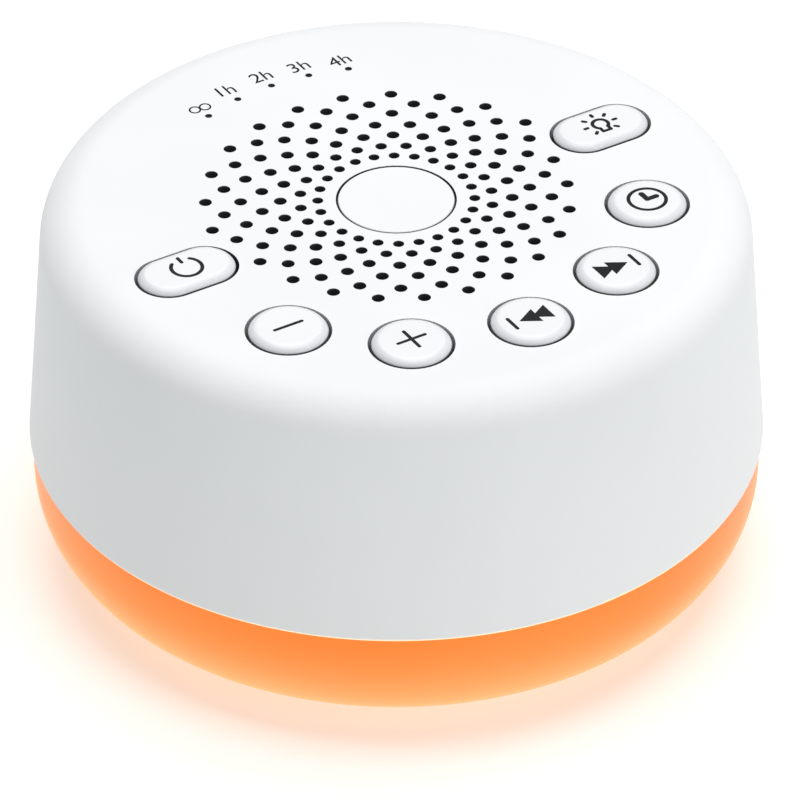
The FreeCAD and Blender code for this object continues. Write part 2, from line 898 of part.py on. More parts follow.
def speaker_spider():
    """The cloth disc that centres the voice coil, standing on the basket's floor."""
    floor = speaker_rim_top - sheet.basket_depth + sheet.speaker_sheet
    piece = body("speaker_spider", floor)
    outer = sheet.basket_seat_radius - sheet.speaker_fit
    rise = sheet.spider_rise
    skin = sheet.spider_skin
    corners = [
        (coil_outer_radius, rise - skin),
        (coil_outer_radius, rise),
        (outer, rise),
        (outer, ZERO),
        (outer - sheet.land_width, ZERO),
        (outer - sheet.land_width, rise - skin),
    ]
    revolve(piece, "web", corners)
    return piece


def terminal_board():
    """The small board under the rim at the back, where the leads join the loudspeaker."""
    piece = body("terminal_board", speaker_rim_bottom - sheet.terminal_height)
    size = (terminal_place, sheet.terminal_width, sheet.terminal_thickness)
    pad(piece, "strip", ZERO, sheet.terminal_height, rectangles, *size)
    return piece


def terminal_lugs():
    """Two solder lugs on the outer face of the terminal board."""
    foot = speaker_rim_bottom - sheet.terminal_height
    piece = body("terminal_lugs", foot)
    (x, y), = terminal_place
    row = y + sheet.terminal_thickness / 2 + sheet.socket_sheet / 2
    places = [(x - sheet.lug_spread, row), (x + sheet.lug_spread, row)]
    size = (places, sheet.lug_width, sheet.socket_sheet)
    pad(piece, "lugs", ZERO, sheet.lug_length, rectangles, *size)
    return piece


def mid_plate():
    """The plate that closes the housing: pillars down to the base, standoffs up to the main board."""
    piece = body("mid_plate", plate_bottom)
    radius = inner_radius(plate_top) - sheet.plate_clearance
    thickness = sheet.plate_thickness
    pad(piece, "disc", ZERO, thickness, circles, [(ZERO, ZERO)], radius)
    drop = plate_bottom - pillar_bottom
    pad(piece, "pillars", -drop, drop, circles, pillar_places, sheet.pillar_radius)
    stand = (circles, standoff_places, sheet.standoff_radius)
    pad(piece, "standoffs", thickness, sheet.standoff_height, *stand)
    bore = sheet.screw_radius + sheet.screw_fit
    depth = sheet.screw_length + sheet.screw_tip_room
    pocket_up(piece, "pillar_bores", -drop, depth, circles, pillar_places, bore)
    board_top = thickness + sheet.standoff_height
    board_bores = (circles, standoff_places, bore)
    pocket(piece, "standoff_bores", board_top, board_top, *board_bores)
    room = sheet.screw_radius + sheet.screw_clearance
    pocket(piece, "screw_holes", thickness, thickness, circles, post_places, room)
    light_bores = (circles, light_screw_places, bore)
    pocket(piece, "light_board_bores", thickness, thickness, *light_bores)
    return piece


def main_board():
    """The main board: a disc cut straight at both sides and in front, round at the back."""
    piece = body("main_board", main_board_bottom)
    radius = inner_radius(main_board_top) - sheet.main_board_inset
    thickness = sheet.board_thickness
    half = sheet.main_board_half_width
    front = sheet.main_board_front
    pad(piece, "disc", ZERO, thickness, circles, [(ZERO, ZERO)], radius)
    reach = radius * 2
    sides = [(half + radius, ZERO), (-(half + radius), ZERO)]
    pocket(piece, "sides", thickness, thickness, rectangles, sides, reach, reach)
    ahead = [(ZERO, -(front + radius))]
    pocket(piece, "front", thickness, thickness, rectangles, ahead, reach, reach)
    room = sheet.screw_radius + sheet.screw_clearance
    pocket(piece, "screw_holes", thickness, thickness, circles, standoff_places, room)
    return piece


def main_board_screws():
    """Screws from above into the standoffs."""
    piece = body("main_board_screws", main_board_top)
    head = sheet.screw_head_height
    pad(piece, "heads", ZERO, head, circles, standoff_places, sheet.screw_head_radius)
    length = sheet.board_thickness + sheet.standoff_height
    shanks = (circles, standoff_places, sheet.screw_radius)
    pad(piece, "shanks", -length, length, *shanks)
    return piece


def board_chips():
    """The controller, the sound memory and the amplifier."""
    piece = body("board_chips", main_board_top)
    row = -sheet.chip_row
    for name, x, side in (
        ("controller", ZERO, sheet.controller_side),
        ("memory", -sheet.chip_spread, sheet.memory_side),
        ("amplifier", sheet.chip_spread, sheet.amplifier_side),
    ):
        pad(piece, name, ZERO, sheet.chip_height, rectangles, [(x, row)], side, side)
    return piece


def board_capacitors():
    """Two upright capacitors behind the loudspeaker's magnet."""
    piece = body("board_capacitors", main_board_top)
    half = sheet.capacitor_half_spread
    places = [(-half, sheet.capacitor_row), (half, sheet.capacitor_row)]
    size = (circles, places, sheet.capacitor_radius)
    pad(piece, "cans", ZERO, sheet.capacitor_height, *size)
    return piece


def lead_connectors():
    """The socket between the capacitors that the leads of the other boards plug into."""
    piece = body("lead_connectors", main_board_top)
    size = ([(ZERO, sheet.connector_row)], sheet.connector_width, sheet.connector_depth)
    pad(piece, "socket", ZERO, sheet.connector_height, rectangles, *size)
    return piece


def usb_shell():
    """The power socket's metal shell, open to the back. Its own Y is 0 at its inner end."""
    start = socket_mouth - sheet.socket_length
    piece = body("usb_shell", socket_middle, ZERO, start)
    half_straight = (sheet.socket_width - sheet.socket_height) / 2
    radius = sheet.socket_height / 2
    for kind, name, size, back in (
        ("Pad", "outside", radius, ZERO),
        ("Pocket", "inside", radius - sheet.socket_sheet, sheet.socket_sheet),
    ):
        drawing = sketch(piece, f"{name}_outline", "XZ_Plane", -back)
        slots(drawing, [(ZERO, ZERO)], half_straight, size)
        step = feature(piece, kind, name, drawing)
        step.Reversed = kind == "Pad"
        step.setExpression("Length", sheet.socket_length.text)
    return piece


def usb_tongue():
    """The thin tongue inside the power socket, fixed to the shell's inner end."""
    start = socket_mouth - sheet.socket_length + sheet.socket_sheet
    piece = body("usb_tongue", socket_middle - sheet.tongue_height / 2, ZERO, start)
    length = sheet.socket_length - sheet.socket_sheet - sheet.tongue_recess
    size = ([(ZERO, length / 2)], sheet.tongue_width, length)
    pad(piece, "blade", ZERO, sheet.tongue_height, rectangles, *size)
    return piece


def light_board():
    """The ring board under the middle plate."""
    piece = body("light_board", light_board_bottom)
    thickness = sheet.light_board_thickness
    pad(piece, "ring", ZERO, thickness, ring, light_board_bore, light_board_radius)
    room = sheet.screw_radius + sheet.screw_clearance
    pocket(piece, "screw_holes", thickness, thickness, circles, light_screw_places, room)
    return piece


def night_light_leds():
    """The lamps round the light board, facing down into the bowl."""
    piece = body("night_light_leds", light_board_bottom - sheet.lamp_height)
    count = int(sheet.lamp_count.value)
    places = spread(lamp_circle_radius, count)
    side = sheet.lamp_side
    pad(piece, "lamps", ZERO, sheet.lamp_height, rectangles, places, side, side)
    return piece


def diffuser():
    """The translucent bowl. Its own Z is 0 at its underside."""
    piece = body("diffuser", underside)
    wall = sheet.bowl_wall
    rim_outer = parting_radius - sheet.housing_wall - sheet.plate_clearance
    rim_inner = rim_outer - wall
    shoulder = sheet.bowl_depth
    floor = sheet.base_thickness + wall
    hole = base_radius - sheet.bowl_ledge_width
    recess = base_radius + sheet.base_clearance
    corners = [
        (recess, ZERO),
        (bowl_radius, ZERO),
        (bowl_radius, shoulder),
        (rim_outer, shoulder),
        (rim_outer, shoulder + sheet.bowl_rim_height),
        (rim_inner, shoulder + sheet.bowl_rim_height),
        (rim_inner, shoulder - wall),
        (bowl_radius - wall, shoulder - wall * 2),
        (bowl_radius - wall, wall),
        (recess + wall, wall),
        (recess + wall, floor),
        (hole, floor),
        (hole, sheet.base_thickness),
        (recess, sheet.base_thickness),
    ]
    revolve(piece, "bowl", corners)
    corner = sheet.bowl_corner_radius
    round_off(piece, "outer_round", corner, circle_edge(bowl_radius, ZERO))
    inner_edge = circle_edge(bowl_radius - wall, wall)
    round_off(piece, "inner_round", corner - wall, inner_edge)
    return piece


def base_plate():
    """The plate in the bowl's underside, with a cup for each screw's head."""
    piece = body("base_plate", underside)
    cup_top = pillar_bottom - underside
    sunk = sheet.screw_head_radius + sheet.screw_clearance
    pad(piece, "disc", ZERO, sheet.base_thickness, circles, [(ZERO, ZERO)], base_radius)
    pad(piece, "cups", ZERO, cup_top, circles, pillar_places, sunk + sheet.cup_wall)
    pocket_up(piece, "head_room", ZERO, sheet.cup_depth, circles, pillar_places, sunk)
    room = sheet.screw_radius + sheet.screw_clearance
    pocket(piece, "screw_holes", cup_top, cup_top, circles, pillar_places, room)
    return piece


def rubber_feet():
    """Four round feet under the base plate."""
    piece = body("rubber_feet")
    pad(piece, "pads", ZERO, sheet.foot_height, circles, foot_places, sheet.foot_radius)
    return piece


# Places inside the loudspeaker and under the middle plate
coil_outer_radius = sheet.coil_inner_radius + sheet.coil_wall
gap_radius = coil_outer_radius + sheet.coil_clearance
basket_bottom = speaker_rim_top - sheet.basket_depth
magnet_top = basket_bottom - sheet.top_plate_thickness
magnet_bottom = magnet_top - sheet.magnet_thickness
terminal_row = sheet.speaker_radius - sheet.terminal_thickness
terminal_place = [(ZERO, terminal_row)]
light_board_bottom = plate_bottom - sheet.light_board_thickness
light_screw_count = int(sheet.light_screw_count.value)
light_screw_places = spread(light_screw_circle_radius, light_screw_count, BACK)
socket_mouth = outer_radius(socket_middle) - sheet.socket_recess

pieces = [top_housing(), centre_disc()]
pieces += [
    grille_cloth(),
    speaker_gasket(),
    speaker_frame(),
    ring_node(
        "speaker_top_plate",
        magnet_top,
        sheet.top_plate_thickness,
        gap_radius,
        sheet.top_plate_radius,
    ),
    ring_node(
        "speaker_magnet",
        magnet_bottom,
        sheet.magnet_thickness,
        sheet.magnet_bore,
        sheet.magnet_radius,
    ),
    speaker_yoke(),
    speaker_cone(),
    voice_coil(),
    dust_cap(),
    speaker_surround(),
    speaker_spider(),
    terminal_board(),
    terminal_lugs(),
    screws(
        "speaker_screws",
        speaker_rim_bottom,
        speaker_screw_places,
        sheet.speaker_washer_radius,
        speaker_rim_top - speaker_rim_bottom + sheet.gasket_thickness / 2,
    ),
    control_board(),
    screws("control_board_screws", control_board_bottom, boss_places),
    tact_switches(),
    timer_leds(),
    timer_light_guides(),
    mid_plate(),
    screws("mid_plate_screws", plate_bottom, post_places),
    main_board(),
    main_board_screws(),
    board_chips(),
    board_capacitors(),
    lead_connectors(),
    usb_shell(),
    usb_tongue(),
    light_board(),
    night_light_leds(),
    screws(
        "light_board_screws",
        light_board_bottom,
        light_screw_places,
        None,
        sheet.light_board_thickness + sheet.plate_thickness,
    ),
    diffuser(),
    base_plate(),
    screws("base_screws", cup_seat, pillar_places),
    rubber_feet(),
]
for index, name in enumerate(ROUND_BUTTONS):
    x, y = button_places[name]
    turn = button_angle(index - len(ROUND_BUTTONS) // 2)
    pieces.append(button(name, x, y, turn, sheet.round_button_radius))
    pieces.append(plunger(name, x, y))
for name, x in (("power", -oblong_offset), ("light", oblong_offset)):
    oblong = (sheet.oblong_button_radius, sheet.oblong_half_straight)
    pieces.append(button(name, x, ZERO, ZERO, *oblong))
    pieces.append(plunger(name, x, ZERO))

document.recompute()

for item in document.Objects:
    if "Invalid" in item.State or "Error" in item.State:
        raise RuntimeError(f"{item.Name} is {item.State}")
    if item.isDerivedFrom("PartDesign::Pocket"):
        before = item.BaseFeature.Shape.Volume
        if item.Shape.Volume >= before - SAME:
            raise RuntimeError(f"{item.Name} cuts nothing")
for piece in pieces:
    if piece.Shape.isNull() or not piece.Shape.isValid() or not piece.Shape.Solids:
        raise RuntimeError(f"{piece.Label} has no valid shape")

os.makedirs("parts", exist_ok=True)
for piece in pieces:
    piece.Shape.exportStep(f"parts/{piece.Label}.step")
    print(piece.Label, len(piece.Shape.Solids), round(piece.Shape.Volume, 2))
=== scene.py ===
"""Finishes, printed marks and studio of a white noise sound machine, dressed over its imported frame."""

import logging
import math
from dataclasses import dataclass
from enum import Enum

import bmesh
import bpy
from mathutils import Matrix, Vector


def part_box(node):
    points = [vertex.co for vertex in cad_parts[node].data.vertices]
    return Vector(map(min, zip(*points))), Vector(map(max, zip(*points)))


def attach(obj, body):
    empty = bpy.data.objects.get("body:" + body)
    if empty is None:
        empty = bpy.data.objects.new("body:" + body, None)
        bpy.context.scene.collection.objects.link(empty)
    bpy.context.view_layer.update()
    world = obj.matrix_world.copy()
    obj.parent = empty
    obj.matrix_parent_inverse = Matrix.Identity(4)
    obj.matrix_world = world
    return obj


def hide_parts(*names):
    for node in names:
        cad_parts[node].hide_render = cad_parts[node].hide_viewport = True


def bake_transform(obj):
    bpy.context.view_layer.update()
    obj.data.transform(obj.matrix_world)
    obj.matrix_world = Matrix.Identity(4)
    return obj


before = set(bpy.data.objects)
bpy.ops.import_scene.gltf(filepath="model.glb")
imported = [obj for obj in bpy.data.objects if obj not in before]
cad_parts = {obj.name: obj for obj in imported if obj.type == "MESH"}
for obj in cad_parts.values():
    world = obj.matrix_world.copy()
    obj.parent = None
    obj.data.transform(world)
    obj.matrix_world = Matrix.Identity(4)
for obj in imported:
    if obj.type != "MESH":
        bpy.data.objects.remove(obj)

log = logging.getLogger("sound_machine")

MILLIMETRE = 0.001
INK_RELIEF = 0.015 * MILLIMETRE
INK_BURIED = 0.010 * MILLIMETRE
WELD = 0.000002
HALF_TURN = 180.0
FULL_TURN = 360.0
TRIANGLE = 3
QUAD = 4
COLUMN_WIDTH = 190.0
# A mix node's colour sockets: the two that go in and the one that comes out
MIX_LOW = 6
MIX_HIGH = 7
MIXED = 2
Pair = tuple[float, float]
Triple = tuple[float, float, float]
Rgb = Triple
Socket = bpy.types.NodeSocket
Node = bpy.types.Node
Tree = bpy.types.NodeTree
Piece = bpy.types.Object


def rgba(colour: Rgb) -> tuple[float, float, float, float]:
    """Return a linear colour with full opacity.

    Args:
        colour: Its red, green and blue.
    """
    return (*colour, 1.0)


def mm(*values: float) -> Vector:
    """Return a vector in metres.

    Args:
        *values: Its lengths in millimetres.
    """
    return Vector(values) * MILLIMETRE


def clear_selection() -> None:
    """Leave object mode ready, with nothing selected."""
    bpy.ops.object.select_all(action="DESELECT")


def pick_only(piece: Piece) -> None:
    """Make one piece the only selected and active one.

    Args:
        piece: The piece that the next operators act on.
    """
    clear_selection()
    piece.select_set(True)
    bpy.context.view_layer.objects.active = piece


def settle(piece: Piece) -> None:
    """Apply a piece's place to its mesh, so its object sits at the origin.

    Args:
        piece: The piece to settle.
    """
    piece.data.transform(piece.matrix_world)
    piece.matrix_world = Matrix.Identity(4)


class Bench:
    """A small workbench for wiring one node tree."""

    def __init__(self, tree: Tree) -> None:
        """Keep the tree and start its first column.

        Args:
            tree: The tree to wire.
        """
        self.tree = tree
        self.column = 0.0

    def add(self, kind: str, **settings: object) -> Node:
        """Add a node and set its properties and unlinked sockets.

        Args:
            kind: The node's type name.
            **settings: Property names, or socket names with spaces written as underscores.

        Returns:
            The new node.
        """
        node = self.tree.nodes.new(kind)
        self.column += COLUMN_WIDTH
        node.location = (self.column, 0.0)
        for name, value in settings.items():
            if hasattr(node, name):
                setattr(node, name, value)
            else:
                node.inputs[name.replace("_", " ")].default_value = value
        return node

    def join(self, source: Socket, target: Socket) -> None:
        """Link one socket to another.

        Args:
            source: The socket that the value comes out of.
            target: The socket that it goes into.
        """
        self.tree.links.new(source, target)

    def math(self, operation: str, first: object, second: object = 0.0) -> Socket:
        """Add a math node.

        Args:
            operation: The node's operation.
            first: A socket or a number.
            second: A socket or a number.

        Returns:
            The node's output socket.
        """
        node = self.add("ShaderNodeMath", operation=operation)
        for index, value in enumerate((first, second)):
            if isinstance(value, Socket):
                self.join(value, node.inputs[index])
            else:
                node.inputs[index].default_value = value
        return node.outputs[0]

    def blend(self, factor: Socket, low: object, high: object) -> Socket:
        """Mix two colours by a mask.

        Args:
            factor: The mask's socket.
            low: A colour or a colour socket where the mask is 0.
            high: A colour or a colour socket where the mask is 1.

        Returns:
            The mixed colour's socket.
        """
        node = self.add("ShaderNodeMix", data_type="RGBA")
        self.join(factor, node.inputs[0])
        for index, value in ((MIX_LOW, low), (MIX_HIGH, high)):
            if isinstance(value, Socket):
                self.join(value, node.inputs[index])
            else:
                node.inputs[index].default_value = rgba(value)
        return node.outputs[MIXED]

    def noise(self, place: Socket, scale: object, detail: float) -> Socket:
        """Add noise at a place and return its value from 0 to 1.

        Args:
            place: The coordinates.
            scale: Cells per metre, as a number or a socket.
            detail: Octaves of finer noise.

        Returns:
            The noise value's socket.
        """
        node = self.add("ShaderNodeTexNoise", Detail=detail)
        self.join(place, node.inputs["Vector"])
        if isinstance(scale, Socket):
            self.join(scale, node.inputs["Scale"])
        else:
            node.inputs["Scale"].default_value = scale
        return node.outputs[0]

    def span(self, value: Socket, low: float, high: float, **settings: object) -> Socket:
        """Map a value from one span to the span from 0 to 1, or to another.

        Args:
            value: The value's socket.
            low: The start of its span.
            high: The end of its span.
            **settings: More of the node's settings, such as To_Min.

        Returns:
            The mapped value's socket.
        """
        node = self.add("ShaderNodeMapRange", From_Min=low, From_Max=high, **settings)
        self.join(value, node.inputs["Value"])
        return node.outputs[0]

    def place(self) -> Socket:
        """Return the object's own coordinates, in metres."""
        return self.add("ShaderNodeTexCoord").outputs["Object"]

    def axes(self) -> tuple[Socket, ...]:
        """Return the X, Y and Z of the object's own coordinates, in metres."""
        node = self.add("ShaderNodeSeparateXYZ")
        self.join(self.place(), node.inputs[0])
        return tuple(node.outputs)


class Effect(Enum):
    """The surface effects that several finishes share."""

    GRAIN = "fine_moulded_grain"
    HANDLING = "handling_and_dust"
    BRUSHING = "brushed_lines"
    WEAVE = "plain_weave"
    TRACKS = "board_tracks"


@dataclass(frozen=True)
class EffectGroups:
    """Builds each shared effect once, as a node group with named inputs and outputs."""

    grain_detail: float = 3.0
    mottle_scale: float = 0.012
    mottle_detail: float = 2.0
    mottle_share: float = 0.12
    smear_stretch: Triple = (1.0, 2.2, 0.7)
    smear_turn: Triple = (0.0, 0.0, 0.6)
    smear_detail: float = 4.0
    speck_scale: float = 60.0
    speck_detail: float = 1.0
    dust_level: float = 0.62
    scratch_stretch: Triple = (0.04, 1.0, 1.0)
    scratch_detail: float = 2.0
    patch_scale: float = 0.03
    patch_detail: float = 3.0
    thread_overlap: float = 0.5
    tracks_per_cell: float = 16.0
    track_gap: float = 0.1

    def tree(self, effect: Effect) -> Tree:
        """Return the node group of an effect, made the first time it is asked for.

        Args:
            effect: The wanted effect.

        Returns:
            The node group.
        """
        made = bpy.data.node_groups.get(effect.value)
        if made is not None:
            return made
        made = bpy.data.node_groups.new(effect.value, "ShaderNodeTree")
        for name, way in (("Scale", "INPUT"), ("Height", "OUTPUT"), ("Mask", "OUTPUT")):
            made.interface.new_socket(name, in_out=way, socket_type="NodeSocketFloat")
        bench = Bench(made)
        entry = bench.add("NodeGroupInput")
        wiring = {
            Effect.GRAIN: self.grain,
            Effect.HANDLING: self.handling,
            Effect.BRUSHING: self.brushing,
            Effect.WEAVE: self.weave,
            Effect.TRACKS: self.tracks,
        }
        height, mask = wiring[effect](bench, entry.outputs["Scale"])
        leave = bench.add("NodeGroupOutput")
        bench.join(height, leave.inputs["Height"])
        bench.join(mask, leave.inputs["Mask"])
        return made

    def grain(self, bench: Bench, scale: Socket) -> tuple[Socket, ...]:
        """Wire the spark-eroded grain of a mould and the faint mottle of its resin.

        Args:
            bench: The group's bench.
            scale: Grain cells per metre.

        Returns:
            The height and the mottle mask.
        """
        place = bench.place()
        fine = bench.noise(place, scale, self.grain_detail)
        coarse = bench.math("MULTIPLY", scale, self.mottle_scale)
        broad = bench.noise(place, coarse, self.mottle_detail)
        height = bench.math("ADD", fine, bench.math("MULTIPLY", broad, self.mottle_share))
        return height, broad

    def handling(self, bench: Bench, scale: Socket) -> tuple[Socket, ...]:
        """Wire the faint smears and specks that handling and dust leave.

        Args:
            bench: The group's bench.
            scale: Smears per metre.

        Returns:
            The height of the specks and the smear mask.
        """
        place = bench.place()
        stretch = bench.add("ShaderNodeMapping", Scale=self.smear_stretch, Rotation=self.smear_turn)
        bench.join(place, stretch.inputs["Vector"])
        smear = bench.noise(stretch.outputs[0], scale, self.smear_detail)
        finer = bench.math("MULTIPLY", scale, self.speck_scale)
        speck = bench.noise(place, finer, self.speck_detail)
        above = bench.math("SUBTRACT", speck, self.dust_level)
        return bench.math("MAXIMUM", above, 0.0), smear

    def brushing(self, bench: Bench, scale: Socket) -> tuple[Socket, ...]:
        """Wire the long fine scratches of rolled or turned metal.

        Args:
            bench: The group's bench.
            scale: Scratches per metre.

        Returns:
            The scratch height and a broad mask.
        """
        place = bench.place()
        stretch = bench.add("ShaderNodeMapping", Scale=self.scratch_stretch)
        bench.join(place, stretch.inputs["Vector"])
        lines = bench.noise(stretch.outputs[0], scale, self.scratch_detail)
        coarse = bench.math("MULTIPLY", scale, self.patch_scale)
        return lines, bench.noise(place, coarse, self.patch_detail)

    def weave(self, bench: Bench, scale: Socket) -> tuple[Socket, ...]:
        """Wire a plain weave of over and under threads.

        Args:
            bench: The group's bench.
            scale: Threads per metre, times two pi.

        Returns:
            The thread height and the mask of the raised threads.
        """
        x, y, _ = bench.axes()
        across = bench.math("SINE", bench.math("MULTIPLY", x, scale))
        along = bench.math("SINE", bench.math("MULTIPLY", y, scale))
        crossing = bench.math("MULTIPLY", across, along)
        swing = bench.math("MULTIPLY", crossing, self.thread_overlap)
        height = bench.math("ADD", swing, self.thread_overlap)
        return height, bench.math("MAXIMUM", crossing, 0.0)

    def tracks(self, bench: Bench, scale: Socket) -> tuple[Socket, ...]:
        """Wire the copper tracks and poured areas that show through a board's lacquer.

        Args:
            bench: The group's bench.
            scale: Tracks per metre.

        Returns:
            The track height and the track mask.
        """
        cells = bench.add("ShaderNodeTexVoronoi", feature="F1", distance="CHEBYCHEV")
        bench.join(bench.place(), cells.inputs["Vector"])
        bench.join(scale, cells.inputs["Scale"])
        steps = bench.math("MULTIPLY", cells.outputs["Distance"], self.tracks_per_cell)
        mask = bench.math("GREATER_THAN", bench.math("SINE", steps), self.track_gap)
        return mask, mask


EFFECTS = EffectGroups()


@dataclass(frozen=True)
class Finish:
    """A finish that makes its own material; the fields are what most finishes need."""

    name: str
    colour: Rgb
    roughness: float = 0.45
    metallic: float = 0.0
    effect: Effect = Effect.GRAIN
    scale: float = 2600.0
    bump: float = 0.08
    relief: float = 0.00004
    second: Rgb | None = None
    blend_low: float = 0.35
    blend_high: float = 0.65
    rough_swing: float = 0.06
    smoothest: float = 0.02
    coat: float = 0.0
    coat_roughness: float = 0.15
    gloss: float = 0.5
    tone_step: float = 0.965
    smears: float = 55.0

    def material(self) -> bpy.types.Material:
        """Return this finish's material, made the first time it is asked for."""
        made = bpy.data.materials.get(self.name)
        if made is None:
            made = bpy.data.materials.new(self.name)
            made.use_nodes = True
            made.node_tree.nodes.clear()
            bench = Bench(made.node_tree)
            shader = bench.add(
                "ShaderNodeBsdfPrincipled",
                Metallic=self.metallic,
                Specular_IOR_Level=self.gloss,
                Coat_Weight=self.coat,
                Coat_Roughness=self.coat_roughness,
            )
            self.wire(bench, shader)
            ending = bench.add("ShaderNodeOutputMaterial")
            bench.join(shader.outputs[0], ending.inputs["Surface"])
        return made

    def wire(self, bench: Bench, shader: Node) -> None:
        """Wire colour, roughness and relief from the shared effects.

        Args:
            bench: The material's bench.
            shader: The material's main shader.
        """
        surface = bench.add("ShaderNodeGroup", node_tree=EFFECTS.tree(self.effect), Scale=self.scale)
        handling = EFFECTS.tree(Effect.HANDLING)
        touched = bench.add("ShaderNodeGroup", node_tree=handling, Scale=self.smears)
        self.wire_colour(bench, shader, surface.outputs["Mask"])
        self.wire_roughness(bench, shader, touched.outputs["Mask"])
        height = bench.math("ADD", surface.outputs["Height"], touched.outputs["Height"])
        relief = bench.add("ShaderNodeBump", Strength=self.bump, Distance=self.relief)
        bench.join(height, relief.inputs["Height"])
        bench.join(relief.outputs[0], shader.inputs["Normal"])

    def wire_colour(self, bench: Bench, shader: Node, mask: Socket) -> None:
        """Blend the finish's two tones by its mask.

        Args:
            bench: The material's bench.
            shader: The material's main shader.
            mask: The mask between the tones.
        """
        share = bench.span(mask, self.blend_low, self.blend_high)
        other = self.second or tuple(self.tone_step * part for part in self.colour)
        bench.join(bench.blend(share, self.colour, other), shader.inputs["Base Color"])

    def wire_roughness(self, bench: Bench, shader: Node, smear: Socket) -> None:
        """Let handling move the roughness a little.

        Args:
            bench: The material's bench.
            shader: The material's main shader.
            smear: The smear mask.
        """
        low = max(self.roughness - self.rough_swing, self.smoothest)
        high = min(self.roughness + self.rough_swing, 1.0)
        swing = bench.span(smear, 0.0, 1.0, To_Min=low, To_Max=high)
        bench.join(swing, shader.inputs["Roughness"])


@dataclass(frozen=True)
class OpeningShadePlastic(Finish):
    """Moulded plastic with painted shade on its openings' walls just under the top face, where no light
    reaches.

    The openings are those within reach of the middle and, behind the middle, within the rim.
    A band of height has a tone of its own, which on the caps is painted shade on the rounded shoulder.
    """

    # painted shade: the colour painted on the openings' walls, starting at shade_top and full at shade_full
    shade: Rgb = (0.07, 0.072, 0.078)
    shade_top: float = 55.47 * MILLIMETRE
    shade_full: float = 55.38 * MILLIMETRE
    reach: float = 26.9 * MILLIMETRE
    behind: float = 27.0 * MILLIMETRE
    rim: float = 40.0 * MILLIMETRE
    # band of height: an even tone on the shell, painted shade on the caps' rounded shoulder
    band_tone_and_shade: Rgb = (0.905, 0.912, 0.925)
    band_tone_and_shade_top: float = 70.0 * MILLIMETRE
    band_tone_and_shade_full: float = 0.1 * MILLIMETRE

    def wire_colour(self, bench: Bench, shader: Node, mask: Socket) -> None:
        """Blend the plastic's tones, add the band's tone and painted shade, and paint shade on the openings'
        walls by height and reach.

        Args:
            bench: The material's bench.
            shader: The material's main shader.
            mask: The mask between the tones.
        """
        super().wire_colour(bench, shader, mask)
        plastic = shader.inputs["Base Color"].links[0].from_socket
        x, y, z = bench.axes()
        level = bench.add("ShaderNodeCombineXYZ")
        bench.join(x, level.inputs[0])
        bench.join(y, level.inputs[1])
        length = bench.add("ShaderNodeVectorMath", operation="LENGTH")
        bench.join(level.outputs[0], length.inputs[0])
        radius = length.outputs["Value"]
        grille = bench.math("LESS_THAN", radius, self.reach)
        at_back = bench.math("GREATER_THAN", y, self.behind)
        windows = bench.math("MULTIPLY", at_back, bench.math("LESS_THAN", radius, self.rim))
        # painted shade on the openings' walls, deepening under the top face
        depth = bench.span(z, self.shade_top, self.shade_full)
        painted_shade_mask = bench.math("MULTIPLY", depth, bench.math("MAXIMUM", grille, windows))
        share = bench.span(z, self.band_tone_and_shade_top, self.band_tone_and_shade_full, interpolation_type="SMOOTHSTEP")
        toned_and_shaded = bench.blend(share, plastic, self.band_tone_and_shade)
        bench.join(bench.blend(painted_shade_mask, toned_and_shaded, self.shade), shader.inputs["Base Color"])


@dataclass(frozen=True)
class GlowingBowl(Finish):
    """Translucent amber plastic, lit from inside: deep orange at the rim, paler low down."""

    rim_glow: Rgb = (0.68, 0.142, 0.002)
    low_glow: Rgb = (0.68, 0.345, 0.125)
    rim_height: float = 19.4 * MILLIMETRE
    low_height: float = 2.6 * MILLIMETRE
    glow: float = 1.0
    cloud_scale: float = 38.0
    cloud_detail: float = 2.0
    cloud_middle: float = 0.5
    cloud_drift: float = 0.16

    def wire(self, bench: Bench, shader: Node) -> None:
        """Wire the plastic and the glow that changes with height.

        Args:
            bench: The material's bench.
            shader: The material's main shader.
        """
        super().wire(bench, shader)
        z = bench.axes()[2]
        rise = bench.span(z, self.low_height, self.rim_height, interpolation_type="SMOOTHSTEP")
        cloudy = bench.noise(bench.place(), self.cloud_scale, self.cloud_detail)
        offset = bench.math("SUBTRACT", cloudy, self.cloud_middle)
        level = bench.math("ADD", rise, bench.math("MULTIPLY", offset, self.cloud_drift))
        share = bench.math("MINIMUM", bench.math("MAXIMUM", level, 0.0), 1.0)
        colour = bench.blend(share, self.low_glow, self.rim_glow)
        bench.join(colour, shader.inputs["Emission Color"])
        shader.inputs["Emission Strength"].default_value = self.glow


@dataclass(frozen=True)
class LitLamp(Finish):
    """A surface lit from behind, such as a lamp's lens, that glows almost evenly."""

    light: Rgb = (1.0, 0.62, 0.22)
    strength: float = 0.6
    dimmed: float = 0.8
    spot_scale: float = 900.0
    spot_detail: float = 1.0

    def wire(self, bench: Bench, shader: Node) -> None:
        """Wire the surface and its glow.

        Args:
            bench: The material's bench.
            shader: The material's main shader.
        """
        super().wire(bench, shader)
        spots = bench.noise(bench.place(), self.spot_scale, self.spot_detail)
        colour = bench.blend(spots, self.light, tuple(self.dimmed * part for part in self.light))
        bench.join(colour, shader.inputs["Emission Color"])
        shader.inputs["Emission Strength"].default_value = self.strength


@dataclass(frozen=True)
class WoundCoil(Finish):
    """Enamelled wire wound turn on turn round an upright former."""

    turns_per_metre: float = 3200.0
    wire_bump: float = 0.6
    wire_relief: float = 0.0001

    def wire(self, bench: Bench, shader: Node) -> None:
        """Wire the wound turns over the metal.

        Args:
            bench: The material's bench.
            shader: The material's main shader.
        """
        super().wire(bench, shader)
        z = bench.axes()[2]
        angle = bench.math("MULTIPLY", z, self.turns_per_metre * math.tau)
        relief = bench.add("ShaderNodeBump", Strength=self.wire_bump, Distance=self.wire_relief)
        bench.join(bench.math("SINE", angle), relief.inputs["Height"])
        bench.join(relief.outputs[0], shader.inputs["Normal"])


